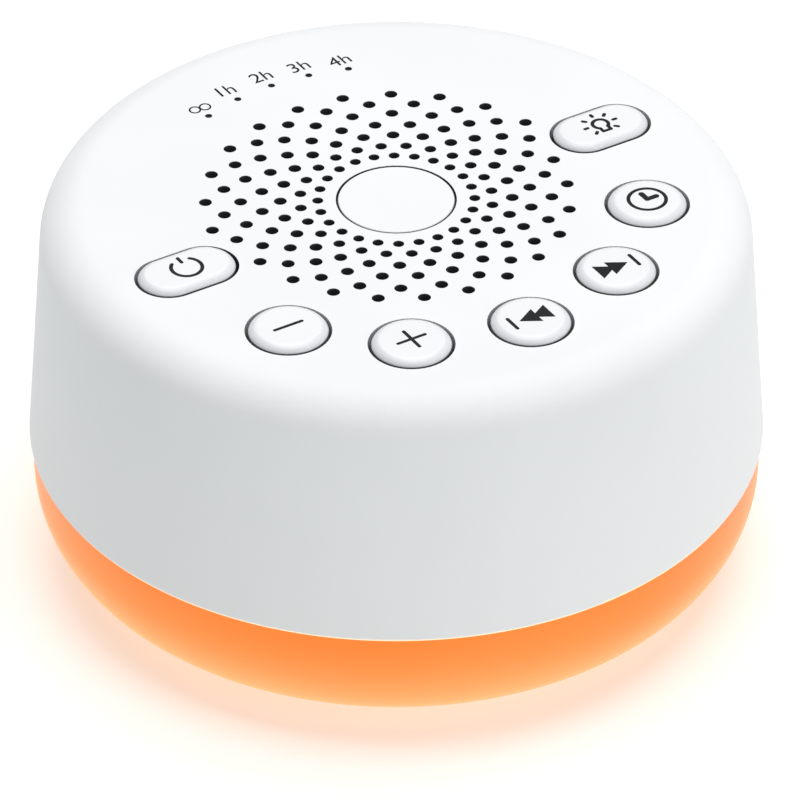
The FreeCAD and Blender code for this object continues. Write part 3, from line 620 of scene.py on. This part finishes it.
@dataclass(frozen=True)
class Finishes:
    """Every finish of the machine, by the name of what it covers."""

    # The shell gets painted shade on the walls of its grille holes and indicator windows.
    shell: Finish = OpeningShadePlastic(
        "white_shell_plastic", (0.905, 0.910, 0.925), 0.46, bump=0.05, gloss=0.1
    )
    # The caps get painted shade on their sides below the housing's top face, and a band of painted shade on
    # their rounded shoulder.
    cap: Finish = OpeningShadePlastic(
        "white_cap_plastic", (0.925, 0.93, 0.94), 0.32, bump=0.03, scale=3400.0,
        shade_top=55.48 * MILLIMETRE, shade_full=55.38 * MILLIMETRE, reach=50.0 * MILLIMETRE,
        band_tone_and_shade=(0.80, 0.81, 0.835), band_tone_and_shade_top=56.242 * MILLIMETRE, band_tone_and_shade_full=56.12 * MILLIMETRE, gloss=0.35,
    )
    bowl: Finish = GlowingBowl(
        "glowing_amber_bowl", (0.50, 0.12, 0.012), 0.36, bump=0.05, second=(0.46, 0.105, 0.010), gloss=0.45
    )
    base: Finish = Finish("base_plastic", (0.86, 0.865, 0.875), 0.5, bump=0.10)
    cloth: Finish = Finish(
        "grille_cloth_black", (0.045, 0.047, 0.052), 0.85, effect=Effect.WEAVE, scale=13000.0,
        bump=0.5, relief=0.0001, second=(0.13, 0.135, 0.145), blend_low=0.0, blend_high=1.0,
    )
    foam: Finish = Finish("gasket_foam", (0.03, 0.03, 0.032), 0.95, scale=1500.0, bump=0.6, relief=0.0002)
    steel: Finish = Finish(
        "plated_steel", (0.58, 0.59, 0.60), 0.33, 1.0, Effect.BRUSHING, 9000.0, 0.10,
        second=(0.50, 0.51, 0.53),
    )
    screw: Finish = Finish(
        "screw_steel", (0.50, 0.50, 0.52), 0.28, 1.0, Effect.BRUSHING, 12000.0, 0.12,
        second=(0.40, 0.40, 0.43),
    )
    ferrite: Finish = Finish(
        "sintered_ferrite", (0.045, 0.045, 0.05), 0.62, scale=1800.0, bump=0.25, second=(0.07, 0.07, 0.075)
    )
    rubber: Finish = Finish("soft_rubber", (0.022, 0.022, 0.024), 0.72, scale=2000.0, bump=0.12)
    spider: Finish = Finish(
        "resin_cloth", (0.42, 0.27, 0.10), 0.8, effect=Effect.WEAVE, scale=9000.0, bump=0.5,
        relief=0.0001, second=(0.55, 0.38, 0.17), blend_low=0.0, blend_high=1.0,
    )
    fibre: Finish = Finish(
        "fibre_board", (0.30, 0.16, 0.07), 0.7, scale=1200.0, bump=0.2, second=(0.36, 0.21, 0.10)
    )
    brass: Finish = Finish(
        "tinned_brass", (0.72, 0.56, 0.26), 0.3, 1.0, Effect.BRUSHING, 9000.0, 0.1, second=(0.62, 0.48, 0.22)
    )
    board: Finish = Finish(
        "green_board_lacquer", (0.012, 0.10, 0.045), 0.3, effect=Effect.TRACKS, scale=420.0, bump=0.25,
        second=(0.025, 0.17, 0.075), blend_low=0.4, blend_high=0.6, coat=0.4,
    )
    lamp_board: Finish = Finish(
        "white_board_lacquer", (0.80, 0.80, 0.78), 0.35, effect=Effect.TRACKS, scale=380.0, bump=0.2,
        second=(0.72, 0.72, 0.70), blend_low=0.4, blend_high=0.6, coat=0.3,
    )
    dark_plastic: Finish = Finish("dark_part_plastic", (0.02, 0.02, 0.022), 0.45, bump=0.12)
    # painted light: the seam bead glows, though it is no lamp, in place of the bowl's light on the housing's
    # lower edge
    seam: Finish = LitLamp(
        "painted_seam_light", (0.85, 0.66, 0.42), 0.4, bump=0.03, light=(1.0, 0.72, 0.42), strength=0.62, dimmed=0.94
    )
    lamp: Finish = LitLamp("yellow_lamp", (0.85, 0.60, 0.12), 0.3, bump=0.03)
    guide: Finish = Finish(
        "smoked_light_guide", (0.035, 0.036, 0.040), 0.18, bump=0.02, second=(0.05, 0.05, 0.055), coat=0.5
    )
    can: Finish = Finish(
        "capacitor_aluminium", (0.72, 0.73, 0.74), 0.32, 1.0, Effect.BRUSHING, 7000.0, 0.12,
        second=(0.64, 0.65, 0.67),
    )
    connector: Finish = Finish("connector_nylon", (0.78, 0.76, 0.70), 0.5, bump=0.1)
    socket: Finish = Finish(
        "drawn_socket_steel", (0.62, 0.62, 0.63), 0.26, 1.0, Effect.BRUSHING, 10000.0, 0.08,
        second=(0.55, 0.55, 0.57),
    )
    cone: Finish = Finish(
        "pressed_paper_cone", (0.035, 0.034, 0.033), 0.85, scale=1100.0, bump=0.35, relief=0.0001,
        second=(0.055, 0.053, 0.05),
    )
    coil: Finish = WoundCoil(
        "enamelled_copper", (0.72, 0.30, 0.12), 0.32, 1.0, Effect.BRUSHING, 9000.0, 0.1,
        second=(0.62, 0.24, 0.09),
    )
    ink: Finish = Finish(
        "pad_printed_ink", (0.018, 0.019, 0.021), 0.8, scale=5200.0, bump=0.08,
        second=(0.026, 0.027, 0.030), gloss=0.15,
    )


FINISHES = Finishes()


@dataclass(frozen=True)
class SmoothSkin:
    """Live modifiers that weld a node's loose triangles and smooth its curved faces."""

    crease: float = math.radians(28.0)

    def group(self) -> Tree:
        """Return the welding and smoothing node group, made the first time it is asked for."""
        made = bpy.data.node_groups.get("weld_and_smooth")
        if made is not None:
            return made
        made = bpy.data.node_groups.new("weld_and_smooth", "GeometryNodeTree")
        made.interface.new_socket("Geometry", in_out="INPUT", socket_type="NodeSocketGeometry")
        made.interface.new_socket("Geometry", in_out="OUTPUT", socket_type="NodeSocketGeometry")
        bench = Bench(made)
        entry = bench.add("NodeGroupInput")
        strip = bench.add("GeometryNodeRemoveAttribute", Name="custom_normal")
        weld = bench.add("GeometryNodeMergeByDistance", Distance=WELD)
        faces = bench.add("GeometryNodeSetShadeSmooth")
        edges = bench.add("GeometryNodeSetShadeSmooth", domain="EDGE")
        edges.inputs["Shade Smooth"].default_value = False
        angle = bench.add("GeometryNodeInputMeshEdgeAngle")
        sharp = bench.add("FunctionNodeCompare", operation="GREATER_THAN")
        sharp.inputs["B"].default_value = self.crease
        leave = bench.add("NodeGroupOutput")
        bench.join(entry.outputs[0], strip.inputs["Geometry"])
        bench.join(strip.outputs[0], weld.inputs["Geometry"])
        bench.join(weld.outputs[0], faces.inputs["Geometry"])
        bench.join(faces.outputs[0], edges.inputs["Geometry"])
        bench.join(angle.outputs["Unsigned Angle"], sharp.inputs["A"])
        bench.join(sharp.outputs[0], edges.inputs["Selection"])
        bench.join(edges.outputs[0], leave.inputs[0])
        return made

    def cover(self, node: Piece) -> None:
        """Put the modifiers on a node.

        Args:
            node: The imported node's object.
        """
        skin = node.modifiers.new("weld_and_smooth", "NODES")
        skin.node_group = self.group()
        even = node.modifiers.new("even_shading", "WEIGHTED_NORMAL")
        even.keep_sharp = True


@dataclass
class SubAssembly:
    """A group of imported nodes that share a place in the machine, with the finish of each."""

    name: str
    dressed: dict[str, Finish]
    skin: SmoothSkin = SmoothSkin()

    def dress(self) -> None:
        """Give every node of the group its finish and its smooth skin."""
        for node_name, finish in self.dressed.items():
            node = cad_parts[node_name]
            node.data.materials.clear()
            node.data.materials.append(finish.material())
            self.skin.cover(node)
        log.info("%s: %d nodes dressed", self.name, len(self.dressed))


@dataclass
class Pen:
    """Draws one mark as flat outlines on a level face, then lifts it to a thin solid of ink."""

    name: str
    middle: Vector
    level: float
    stroke: float
    round_steps: int = 20
    ring_steps: int = 72
    edge_share: float = 0.01
    layer: float = 0.0008 * MILLIMETRE
    drawn: int = 0

    def open(self) -> None:
        """Start the mark as an empty mesh at the origin, in edit mode."""
        clear_selection()
        bpy.ops.mesh.primitive_circle_add(vertices=TRIANGLE, radius=self.stroke, fill_type="NGON")
        mark = bpy.context.object
        mark.name = self.name
        settle(mark)
        bpy.ops.object.mode_set(mode="EDIT")
        bpy.ops.mesh.select_all(action="SELECT")
        bpy.ops.mesh.delete(type="VERT")

    def at(self, x: float, y: float) -> Vector:
        """Return a place on this outline's own buried level.

        Args:
            x: How far it is to the right of the mark's middle.
            y: How far it is ahead of the mark's middle.
        """
        depth = INK_BURIED - self.layer * self.drawn
        return Vector((self.middle.x + x, self.middle.y + y, self.level - depth))

    def edit(self) -> bmesh.types.BMesh:
        """Return the edit mesh of the mark."""
        return bmesh.from_edit_mesh(bpy.context.object.data)

    def disc(self, x: float, y: float, radius: float, turn: float = 0.0, sides: int = 0) -> None:
        """Draw a filled round or many-sided spot.

        Args:
            x: Its middle, beside the mark's middle.
            y: Its middle, ahead of the mark's middle.
            radius: Its radius.
            turn: Turn of its first corner from straight ahead.
            sides: Its corners, or 0 for a round spot.
        """
        bpy.ops.mesh.select_all(action="DESELECT")
        self.drawn += 1
        bpy.ops.mesh.primitive_circle_add(
            vertices=sides or self.round_steps, radius=radius, fill_type="NGON",
            location=self.at(x, y), rotation=(0.0, 0.0, turn),
        )

    def bar(self, start: Pair, end: Pair) -> None:
        """Draw a straight stroke with round ends, from one end's outside to the other's.

        Args:
            start: The stroke's first end.
            end: The stroke's last end.
        """
        first, last = Vector(start), Vector(end)
        along = (last - first).normalized()
        half = self.stroke / 2
        first += along * half
        move = (last - along * half) - first
        turn = math.atan2(along.y, along.x) - math.pi / 2
        self.disc(first.x, first.y, half, turn)
        mesh = self.edit()
        origin = self.at(first.x, first.y)
        ahead = Vector((along.x, along.y, 0.0))
        for corner in mesh.verts:
            if corner.select:
                beyond = (corner.co - origin).dot(ahead) > -half * self.edge_share
                corner.select_set(beyond)
        mesh.select_flush_mode()
        bmesh.update_edit_mesh(bpy.context.object.data)
        bpy.ops.transform.translate(value=(move.x, move.y, 0.0))

    def ring(self, x: float, y: float, outer: float, opening: Pair | None = None) -> None:
        """Draw a round stroke, whole or open between two angles.

        Args:
            x: Its middle, beside the mark's middle.
            y: Its middle, ahead of the mark's middle.
            outer: Its outside radius.
            opening: Angles in degrees, from +X, between which it is open.
        """
        bpy.ops.mesh.select_all(action="DESELECT")
        self.drawn += 1
        centre = self.at(x, y)
        bpy.ops.mesh.primitive_circle_add(
            vertices=self.ring_steps, radius=outer, fill_type="NOTHING", location=centre
        )
        inward = (outer - self.stroke) / outer
        bpy.ops.mesh.extrude_region_move()
        bpy.ops.transform.resize(value=(inward, inward, 1.0), center_override=centre)
        if opening is None:
            return
        bpy.ops.mesh.select_mode(type="FACE")
        mesh = self.edit()
        near = outer - self.stroke / 2
        for face in mesh.faces:
            offset = face.calc_center_median() - centre
            angle = math.degrees(math.atan2(offset.y, offset.x)) % FULL_TURN
            on_ring = abs(offset.length - near) < self.stroke / 2 and len(face.verts) == QUAD
            face.select_set(on_ring and opening[0] < angle < opening[1])
        bmesh.update_edit_mesh(bpy.context.object.data)
        bpy.ops.mesh.delete(type="FACE")
        bpy.ops.mesh.select_mode(type="VERT")
        for angle in opening:
            end = math.radians(angle)
            self.disc(x + near * math.cos(end), y + near * math.sin(end), self.stroke / 2)

    def lift(self, body: str) -> None:
        """Lift every outline to its ink thickness, close the mark and give it to its body.

        Args:
            body: The body that the mark rides on.
        """
        bpy.ops.mesh.select_all(action="SELECT")
        bpy.ops.mesh.extrude_region_move(
            TRANSFORM_OT_translate={"value": (0.0, 0.0, INK_BURIED + INK_RELIEF)}
        )
        bpy.ops.mesh.select_all(action="SELECT")
        bpy.ops.mesh.normals_make_consistent(inside=False)
        bpy.ops.object.mode_set(mode="OBJECT")
        mark = bpy.context.object
        settle(mark)
        mark.data.materials.append(FINISHES.ink.material())
        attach(mark, body)


class Icon(Enum):
    """The generic marks on the buttons."""

    MINUS = "minus"
    PLUS = "plus"
    PREVIOUS = "previous"
    NEXT = "next"
    TIMER = "timer"
    POWER = "power"
    LIGHT = "light"


@dataclass
class ButtonMarks:
    """The printed mark on each push button; lengths are in millimetres."""

    stroke: float = 0.52
    bar_length: float = 4.6
    plus_height: float = 4.4
    triangle_side: float = 3.15
    triangle_bases: Pair = (-2.85, -0.95)
    stop_offset: float = 2.85
    stop_height: float = 3.0
    clock_radius: float = 2.78
    clock_hand: float = 1.85
    hand_stroke: float = 0.85
    power_radius: float = 2.33
    power_opening: Pair = (50.0, 130.0)
    power_bar: Pair = (1.05, 2.65)
    bulb_radius: float = 1.35
    bulb_drop: float = 2.0
    bulb_neck: float = 0.6
    ray_inner: float = 1.78
    ray_outer: float = 2.72
    ray_angles: tuple[float, ...] = (-45.0, 0.0, 45.0, 90.0, 135.0, 180.0, 225.0)

    def build(self) -> None:
        """Draw the mark of every button."""
        drawing = {
            Icon.MINUS: self.minus,
            Icon.PLUS: self.plus,
            Icon.PREVIOUS: self.previous,
            Icon.NEXT: self.next,
            Icon.TIMER: self.timer,
            Icon.POWER: self.power,
            Icon.LIGHT: self.light,
        }
        for icon, draw in drawing.items():
            low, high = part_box(f"button_{icon.value}")
            pen = Pen(f"mark_{icon.value}", (low + high) / 2, high.z, self.stroke * MILLIMETRE)
            pen.open()
            draw(pen)
            pen.lift(f"{icon.value}_button")
            log.info("mark on the %s button", icon.value)

    def minus(self, pen: Pen) -> None:
        """Draw a level bar.

        Args:
            pen: The mark's pen.
        """
        half = self.bar_length / 2 * MILLIMETRE
        pen.bar((-half, 0.0), (half, 0.0))

    def plus(self, pen: Pen) -> None:
        """Draw a level bar crossed by an upright one.

        Args:
            pen: The mark's pen.
        """
        self.minus(pen)
        half = self.plus_height / 2 * MILLIMETRE
        pen.bar((0.0, -half), (0.0, half))

    def skip(self, pen: Pen, way: float) -> None:
        """Draw two triangles and a stop bar.

        Args:
            pen: The mark's pen.
            way: 1 to point to +X, -1 to point to -X.
        """
        radius = self.triangle_side / math.sqrt(3.0) * MILLIMETRE
        for base in self.triangle_bases:
            middle = base * MILLIMETRE + radius / 2
            pen.disc(way * middle, 0.0, radius, -way * math.pi / 2, TRIANGLE)
        x = way * self.stop_offset * MILLIMETRE
        half = self.stop_height / 2 * MILLIMETRE
        pen.bar((x, -half), (x, half))

    def previous(self, pen: Pen) -> None:
        """Draw the skip mark towards -X.

        Args:
            pen: The mark's pen.
        """
        self.skip(pen, -1.0)

    def next(self, pen: Pen) -> None:
        """Draw the skip mark towards +X.

        Args:
            pen: The mark's pen.
        """
        self.skip(pen, 1.0)

    def timer(self, pen: Pen) -> None:
        """Draw a clock with an upright and a level hand.

        Args:
            pen: The mark's pen.
        """
        pen.ring(0.0, 0.0, self.clock_radius * MILLIMETRE)
        hand = self.clock_hand * MILLIMETRE
        pen.stroke = self.hand_stroke * MILLIMETRE
        tail = -pen.stroke / 2
        pen.bar((0.0, tail), (0.0, hand))
        pen.bar((tail, 0.0), (hand, 0.0))

    def power(self, pen: Pen) -> None:
        """Draw an open ring with an upright bar in its opening.

        Args:
            pen: The mark's pen.
        """
        pen.ring(0.0, 0.0, self.power_radius * MILLIMETRE, self.power_opening)
        low, high = self.power_bar
        pen.bar((0.0, low * MILLIMETRE), (0.0, high * MILLIMETRE))

    def light(self, pen: Pen) -> None:
        """Draw a bulb with seven rays.

        Args:
            pen: The mark's pen.
        """
        half = (self.bulb_neck + self.stroke / 2) * MILLIMETRE
        centre_line = (self.bulb_radius - self.stroke / 2) * MILLIMETRE
        spread = math.degrees(math.acos(self.bulb_neck * MILLIMETRE / centre_line))
        opening = (HALF_TURN + spread, FULL_TURN - spread)
        pen.ring(0.0, 0.0, self.bulb_radius * MILLIMETRE, opening)
        neck = self.bulb_neck * MILLIMETRE
        bottom = -self.bulb_drop * MILLIMETRE
        top = -centre_line * math.sin(math.radians(spread)) + pen.stroke / 2
        for x in (-neck, neck):
            pen.bar((x, bottom), (x, top))
        low = bottom + pen.stroke / 2
        pen.bar((-half, low), (half, low))
        for ray_angle in self.ray_angles:
            angle = math.radians(ray_angle)
            way = Vector((math.cos(angle), math.sin(angle)))
            inner, outer = way * self.ray_inner * MILLIMETRE, way * self.ray_outer * MILLIMETRE
            pen.bar(tuple(inner), tuple(outer))


@dataclass
class TimerLabels:
    """The printed hours beside the indicator windows; lengths are in millimetres."""

    hours: tuple[tuple[str, float, float], ...] = (
        ("1h", -6.17, 34.58),
        ("2h", -0.08, 35.0),
        ("3h", 5.58, 34.45),
        ("4h", 11.16, 32.84),
    )
    text_size: float = 3.3
    thickening: float = 0.004
    endless_place: Pair = (-11.18, 32.71)
    endless_radius: float = 0.86
    endless_step: float = 0.775
    endless_turn: float = -2.4
    endless_stroke: float = 0.25

    def build(self) -> None:
        """Print the endless mark and the hours."""
        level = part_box("top_housing")[1].z
        self.endless(level)
        for words, x, y in self.hours:
            self.hour(words, x, y, level)
        log.info("endless mark and %d hours printed", len(self.hours))

    def endless(self, level: float) -> None:
        """Draw two rings that meet, for endless play.

        Args:
            level: The height of the top face.
        """
        middle = mm(*self.endless_place, 0.0)
        pen = Pen("label_endless", middle, level, self.endless_stroke * MILLIMETRE)
        pen.open()
        turn = math.radians(self.endless_turn)
        for side in (-self.endless_step, self.endless_step):
            x, y = side * math.cos(turn) * MILLIMETRE, side * math.sin(turn) * MILLIMETRE
            pen.ring(x, y, self.endless_radius * MILLIMETRE)
        pen.lift("housing")

    def hour(self, words: str, x: float, y: float, level: float) -> None:
        """Print one hour label.

        Args:
            words: The label's number and letter.
            x: Its middle.
            y: Its middle.
            level: The height of the top face.
        """
        clear_selection()
        bpy.ops.object.text_add()
        label = bpy.context.object
        label.name = f"label_{words}"
        label.data.body = words
        label.data.align_x = "CENTER"
        label.data.align_y = "CENTER"
        label.data.size = self.text_size
        label.data.offset = self.thickening
        label.data.extrude = (INK_BURIED + INK_RELIEF) / 2 / MILLIMETRE
        pick_only(label)
        bpy.ops.object.convert(target="MESH")
        label = bpy.context.object
        height = level + (INK_RELIEF - INK_BURIED) / 2
        label.data.transform(Matrix.Scale(MILLIMETRE, 4))
        label.data.transform(Matrix.Translation((x * MILLIMETRE, y * MILLIMETRE, height)))
        label.data.materials.clear()
        label.data.materials.append(FINISHES.ink.material())
        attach(label, "housing")


@dataclass
class RollSurround:
    """The loudspeaker's rubber roll in wedges.

    Lengths are in millimetres.
    """

    wedges: int = 16
    outer_hold: float = 23.4
    inner_hold: float = 20.7
    level: float = 51.0
    crease: float = math.radians(40.0)

    def build(self) -> None:
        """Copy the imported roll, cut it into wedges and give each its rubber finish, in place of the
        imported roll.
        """
        step = math.tau / self.wedges
        for index in range(self.wedges):
            wedge = self.copy(f"surround_wedge_{index + 1:02d}")
            self.trim(wedge, index * step - step / 2, 1.0)
            self.trim(wedge, index * step + step / 2, -1.0)
            bpy.ops.object.shade_smooth_by_angle(angle=self.crease)
            wedge.data.materials.append(FINISHES.rubber.material())
            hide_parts("speaker_surround")
            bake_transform(wedge)
        log.info("surround: %d wedges", self.wedges)

    def copy(self, name: str) -> Piece:
        """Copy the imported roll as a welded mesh.

        Args:
            name: The copy's name.

        Returns:
            The copy, selected and active.
        """
        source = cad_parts["speaker_surround"]
        copy = bpy.data.objects.new(name, source.data.copy())
        bpy.context.scene.collection.objects.link(copy)
        copy.data.materials.clear()
        pick_only(copy)
        bpy.ops.mesh.customdata_custom_splitnormals_clear()
        bpy.ops.object.mode_set(mode="EDIT")
        bpy.ops.mesh.select_all(action="SELECT")
        bpy.ops.mesh.remove_doubles(threshold=WELD)
        bpy.ops.object.mode_set(mode="OBJECT")
        return copy

    def trim(self, wedge: Piece, angle: float, side: float) -> None:
        """Cut a wedge along an upright plane through the middle, and close the cut.

        Args:
            wedge: The wedge, active.
            angle: The plane's angle from +X.
            side: 1 to keep what lies beyond the plane, counting up, or -1 to keep what lies before it.
        """
        pick_only(wedge)
        bpy.ops.object.mode_set(mode="EDIT")
        bpy.ops.mesh.select_all(action="SELECT")
        bpy.ops.mesh.bisect(
            plane_co=(0.0, 0.0, 0.0),
            plane_no=(-math.sin(angle) * side, math.cos(angle) * side, 0.0),
            use_fill=True, clear_inner=True,
        )
        bpy.ops.object.mode_set(mode="OBJECT")


@dataclass
class PaintedSeamBead:
    """A thin glowing bead in the seam between the housing and the bowl, painted light for the bowl's glow on
    the housing's lower edge; lengths are in millimetres.
    """

    radius: float = 49.62
    height: float = 19.34
    section_radius: float = 0.14
    section_steps: int = 10
    turn_steps: int = 240
    crease: float = math.radians(60.0)

    def build(self) -> None:
        """Spin the bead's round section once round the machine."""
        clear_selection()
        bpy.ops.mesh.primitive_circle_add(
            vertices=self.section_steps, radius=self.section_radius * MILLIMETRE, fill_type="NOTHING",
            location=mm(self.radius, 0.0, self.height), rotation=(math.pi / 2, 0.0, 0.0),
        )
        bead = bpy.context.object
        bead.name = "painted_seam_bead"
        settle(bead)
        bpy.ops.object.mode_set(mode="EDIT")
        bpy.ops.mesh.select_all(action="SELECT")
        bpy.ops.mesh.spin(
            steps=self.turn_steps, angle=math.tau, center=(0.0, 0.0, 0.0), axis=(0.0, 0.0, 1.0)
        )
        bpy.ops.mesh.select_all(action="SELECT")
        bpy.ops.mesh.remove_doubles(threshold=WELD)
        bpy.ops.mesh.normals_make_consistent(inside=False)
        bpy.ops.object.mode_set(mode="OBJECT")
        pick_only(bead)
        bpy.ops.object.shade_smooth_by_angle(angle=self.crease)
        # painted light: the bead's glow
        bead.data.materials.append(FINISHES.seam.material())
        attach(bead, "housing")
        log.info("seam bead: %d faces", len(bead.data.polygons))


@dataclass
class Studio:
    """A plain pale floor, soft lights and the camera; places and sizes are in metres."""

    floor_radius: float = 4.0
    floor_steps: int = 96
    camera_place: Triple = (-0.45033, -0.73094, 0.63843)
    lens: float = 349.4
    sensor: float = 36.0
    azimuth: float = -31.67
    elevation: float = 35.657
    nearest: float = 0.01
    table_drop: float = 0.00002
    sky: float = 0.17
    sky_colour: Rgb = (0.98, 0.99, 1.0)
    table_glow: float = 0.44
    overhead_place: Triple = (0.12, 0.08, 1.7)
    overhead_size: float = 1.5
    overhead_power: float = 30.0
    side_place: Triple = (0.62, -1.44, 0.55)
    side_size: float = 0.8
    side_power: float = 4.7

    def build(self) -> None:
        """Set the floor, the lights, the camera and the way colours are shown."""
        self.floor()
        self.world()
        self.lamp("overhead_softbox", self.overhead_place, self.overhead_size, self.overhead_power)
        self.lamp("front_right_softbox", self.side_place, self.side_size, self.side_power)
        self.camera()
        bpy.context.scene.view_settings.view_transform = "Standard"
        bpy.context.scene.view_settings.look = "None"
        log.info("studio set")

    def floor(self) -> None:
        """Lay the pale floor just under the feet."""
        clear_selection()
        bpy.ops.mesh.primitive_circle_add(
            vertices=self.floor_steps, radius=self.floor_radius, fill_type="NGON",
            location=(0.0, 0.0, -self.table_drop),
        )
        floor = bpy.context.object
        floor.name = "studio_floor"
        settle(floor)
        paper = LitLamp(
            "light_table", (0.71, 0.71, 0.71), 0.9, scale=900.0, bump=0.02, second=(0.70, 0.70, 0.70),
            gloss=0.1, light=(0.90, 1.0, 0.975), dimmed=1.0, strength=self.table_glow,
        )
        floor.data.materials.append(paper.material())

    def world(self) -> None:
        """Fill the room with even pale light."""
        room = bpy.data.worlds.new("pale_room")
        room.use_nodes = True
        backdrop = room.node_tree.nodes["Background"]
        backdrop.inputs["Color"].default_value = rgba(self.sky_colour)
        backdrop.inputs["Strength"].default_value = self.sky
        bpy.context.scene.world = room

    def lamp(self, name: str, place: Triple, size: float, power: float) -> None:
        """Hang one soft square light that looks at the object.

        Args:
            name: The light's name.
            place: Where it hangs.
            size: The side of the square.
            power: Its power in watts.
        """
        light = bpy.data.lights.new(name, "AREA")
        light.size = size
        light.energy = power
        hung = bpy.data.objects.new(name, light)
        hung.location = place
        hung.rotation_euler = Vector(place).to_track_quat("Z", "Y").to_euler()
        bpy.context.scene.collection.objects.link(hung)

    def camera(self) -> None:
        """Place the camera at the photograph's angle."""
        azimuth, elevation = math.radians(self.azimuth), math.radians(self.elevation)
        back = Vector((
            math.sin(azimuth) * math.cos(elevation),
            -math.cos(azimuth) * math.cos(elevation),
            math.sin(elevation),
        ))
        lens = bpy.data.cameras.new("product_camera")
        lens.lens = self.lens
        lens.sensor_width = self.sensor
        lens.clip_start = self.nearest
        eye = bpy.data.objects.new("product_camera", lens)
        eye.location = self.camera_place
        eye.rotation_euler = (-back).to_track_quat("-Z", "Y").to_euler()
        bpy.context.scene.collection.objects.link(eye)
        bpy.context.scene.camera = eye


def sub_assemblies() -> list[SubAssembly]:
    """Return the machine's sub-assemblies, each node with its finish."""
    look = FINISHES
    buttons = {f"button_{icon.value}": look.cap for icon in Icon}
    plungers = {f"plunger_{icon.value}": look.dark_plastic for icon in Icon}
    return [
        SubAssembly("shell", {
            "top_housing": look.shell, "centre_disc": look.shell, "diffuser": look.bowl,
            "base_plate": look.base, "base_screws": look.screw, "rubber_feet": look.rubber,
            "mid_plate": look.base, "mid_plate_screws": look.screw,
        }),
        SubAssembly("grille", {"grille_cloth": look.cloth, "speaker_gasket": look.foam}),
        SubAssembly("buttons", {**buttons, **plungers}),
        SubAssembly("loudspeaker", {
            "speaker_frame": look.steel, "speaker_top_plate": look.steel, "speaker_magnet": look.ferrite,
            "speaker_yoke": look.steel, "speaker_surround": look.rubber, "speaker_spider": look.spider,
            "speaker_cone": look.cone, "dust_cap": look.cone, "voice_coil": look.coil,
            "terminal_board": look.fibre, "terminal_lugs": look.brass, "speaker_screws": look.screw,
        }),
        SubAssembly("control board", {
            "control_board": look.board, "control_board_screws": look.screw,
            "tact_switches": look.dark_plastic, "timer_leds": look.lamp, "timer_light_guides": look.guide,
        }),
        SubAssembly("main board", {
            "main_board": look.board, "main_board_screws": look.screw, "board_chips": look.dark_plastic,
            "board_capacitors": look.can, "lead_connectors": look.connector,
            "usb_shell": look.socket, "usb_tongue": look.dark_plastic,
        }),
        SubAssembly("light board", {
            "light_board": look.lamp_board, "light_board_screws": look.screw,
            "night_light_leds": look.lamp,
        }),
    ]


def main() -> None:
    """Dress the machine, print its marks and set the studio."""
    logging.basicConfig(level=logging.INFO, format="%(message)s")
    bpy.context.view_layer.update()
    for group in sub_assemblies():
        group.dress()
    ButtonMarks().build()
    TimerLabels().build()
    PaintedSeamBead().build()
    RollSurround().build()
    Studio().build()


if __name__ == "__main__":
    main()
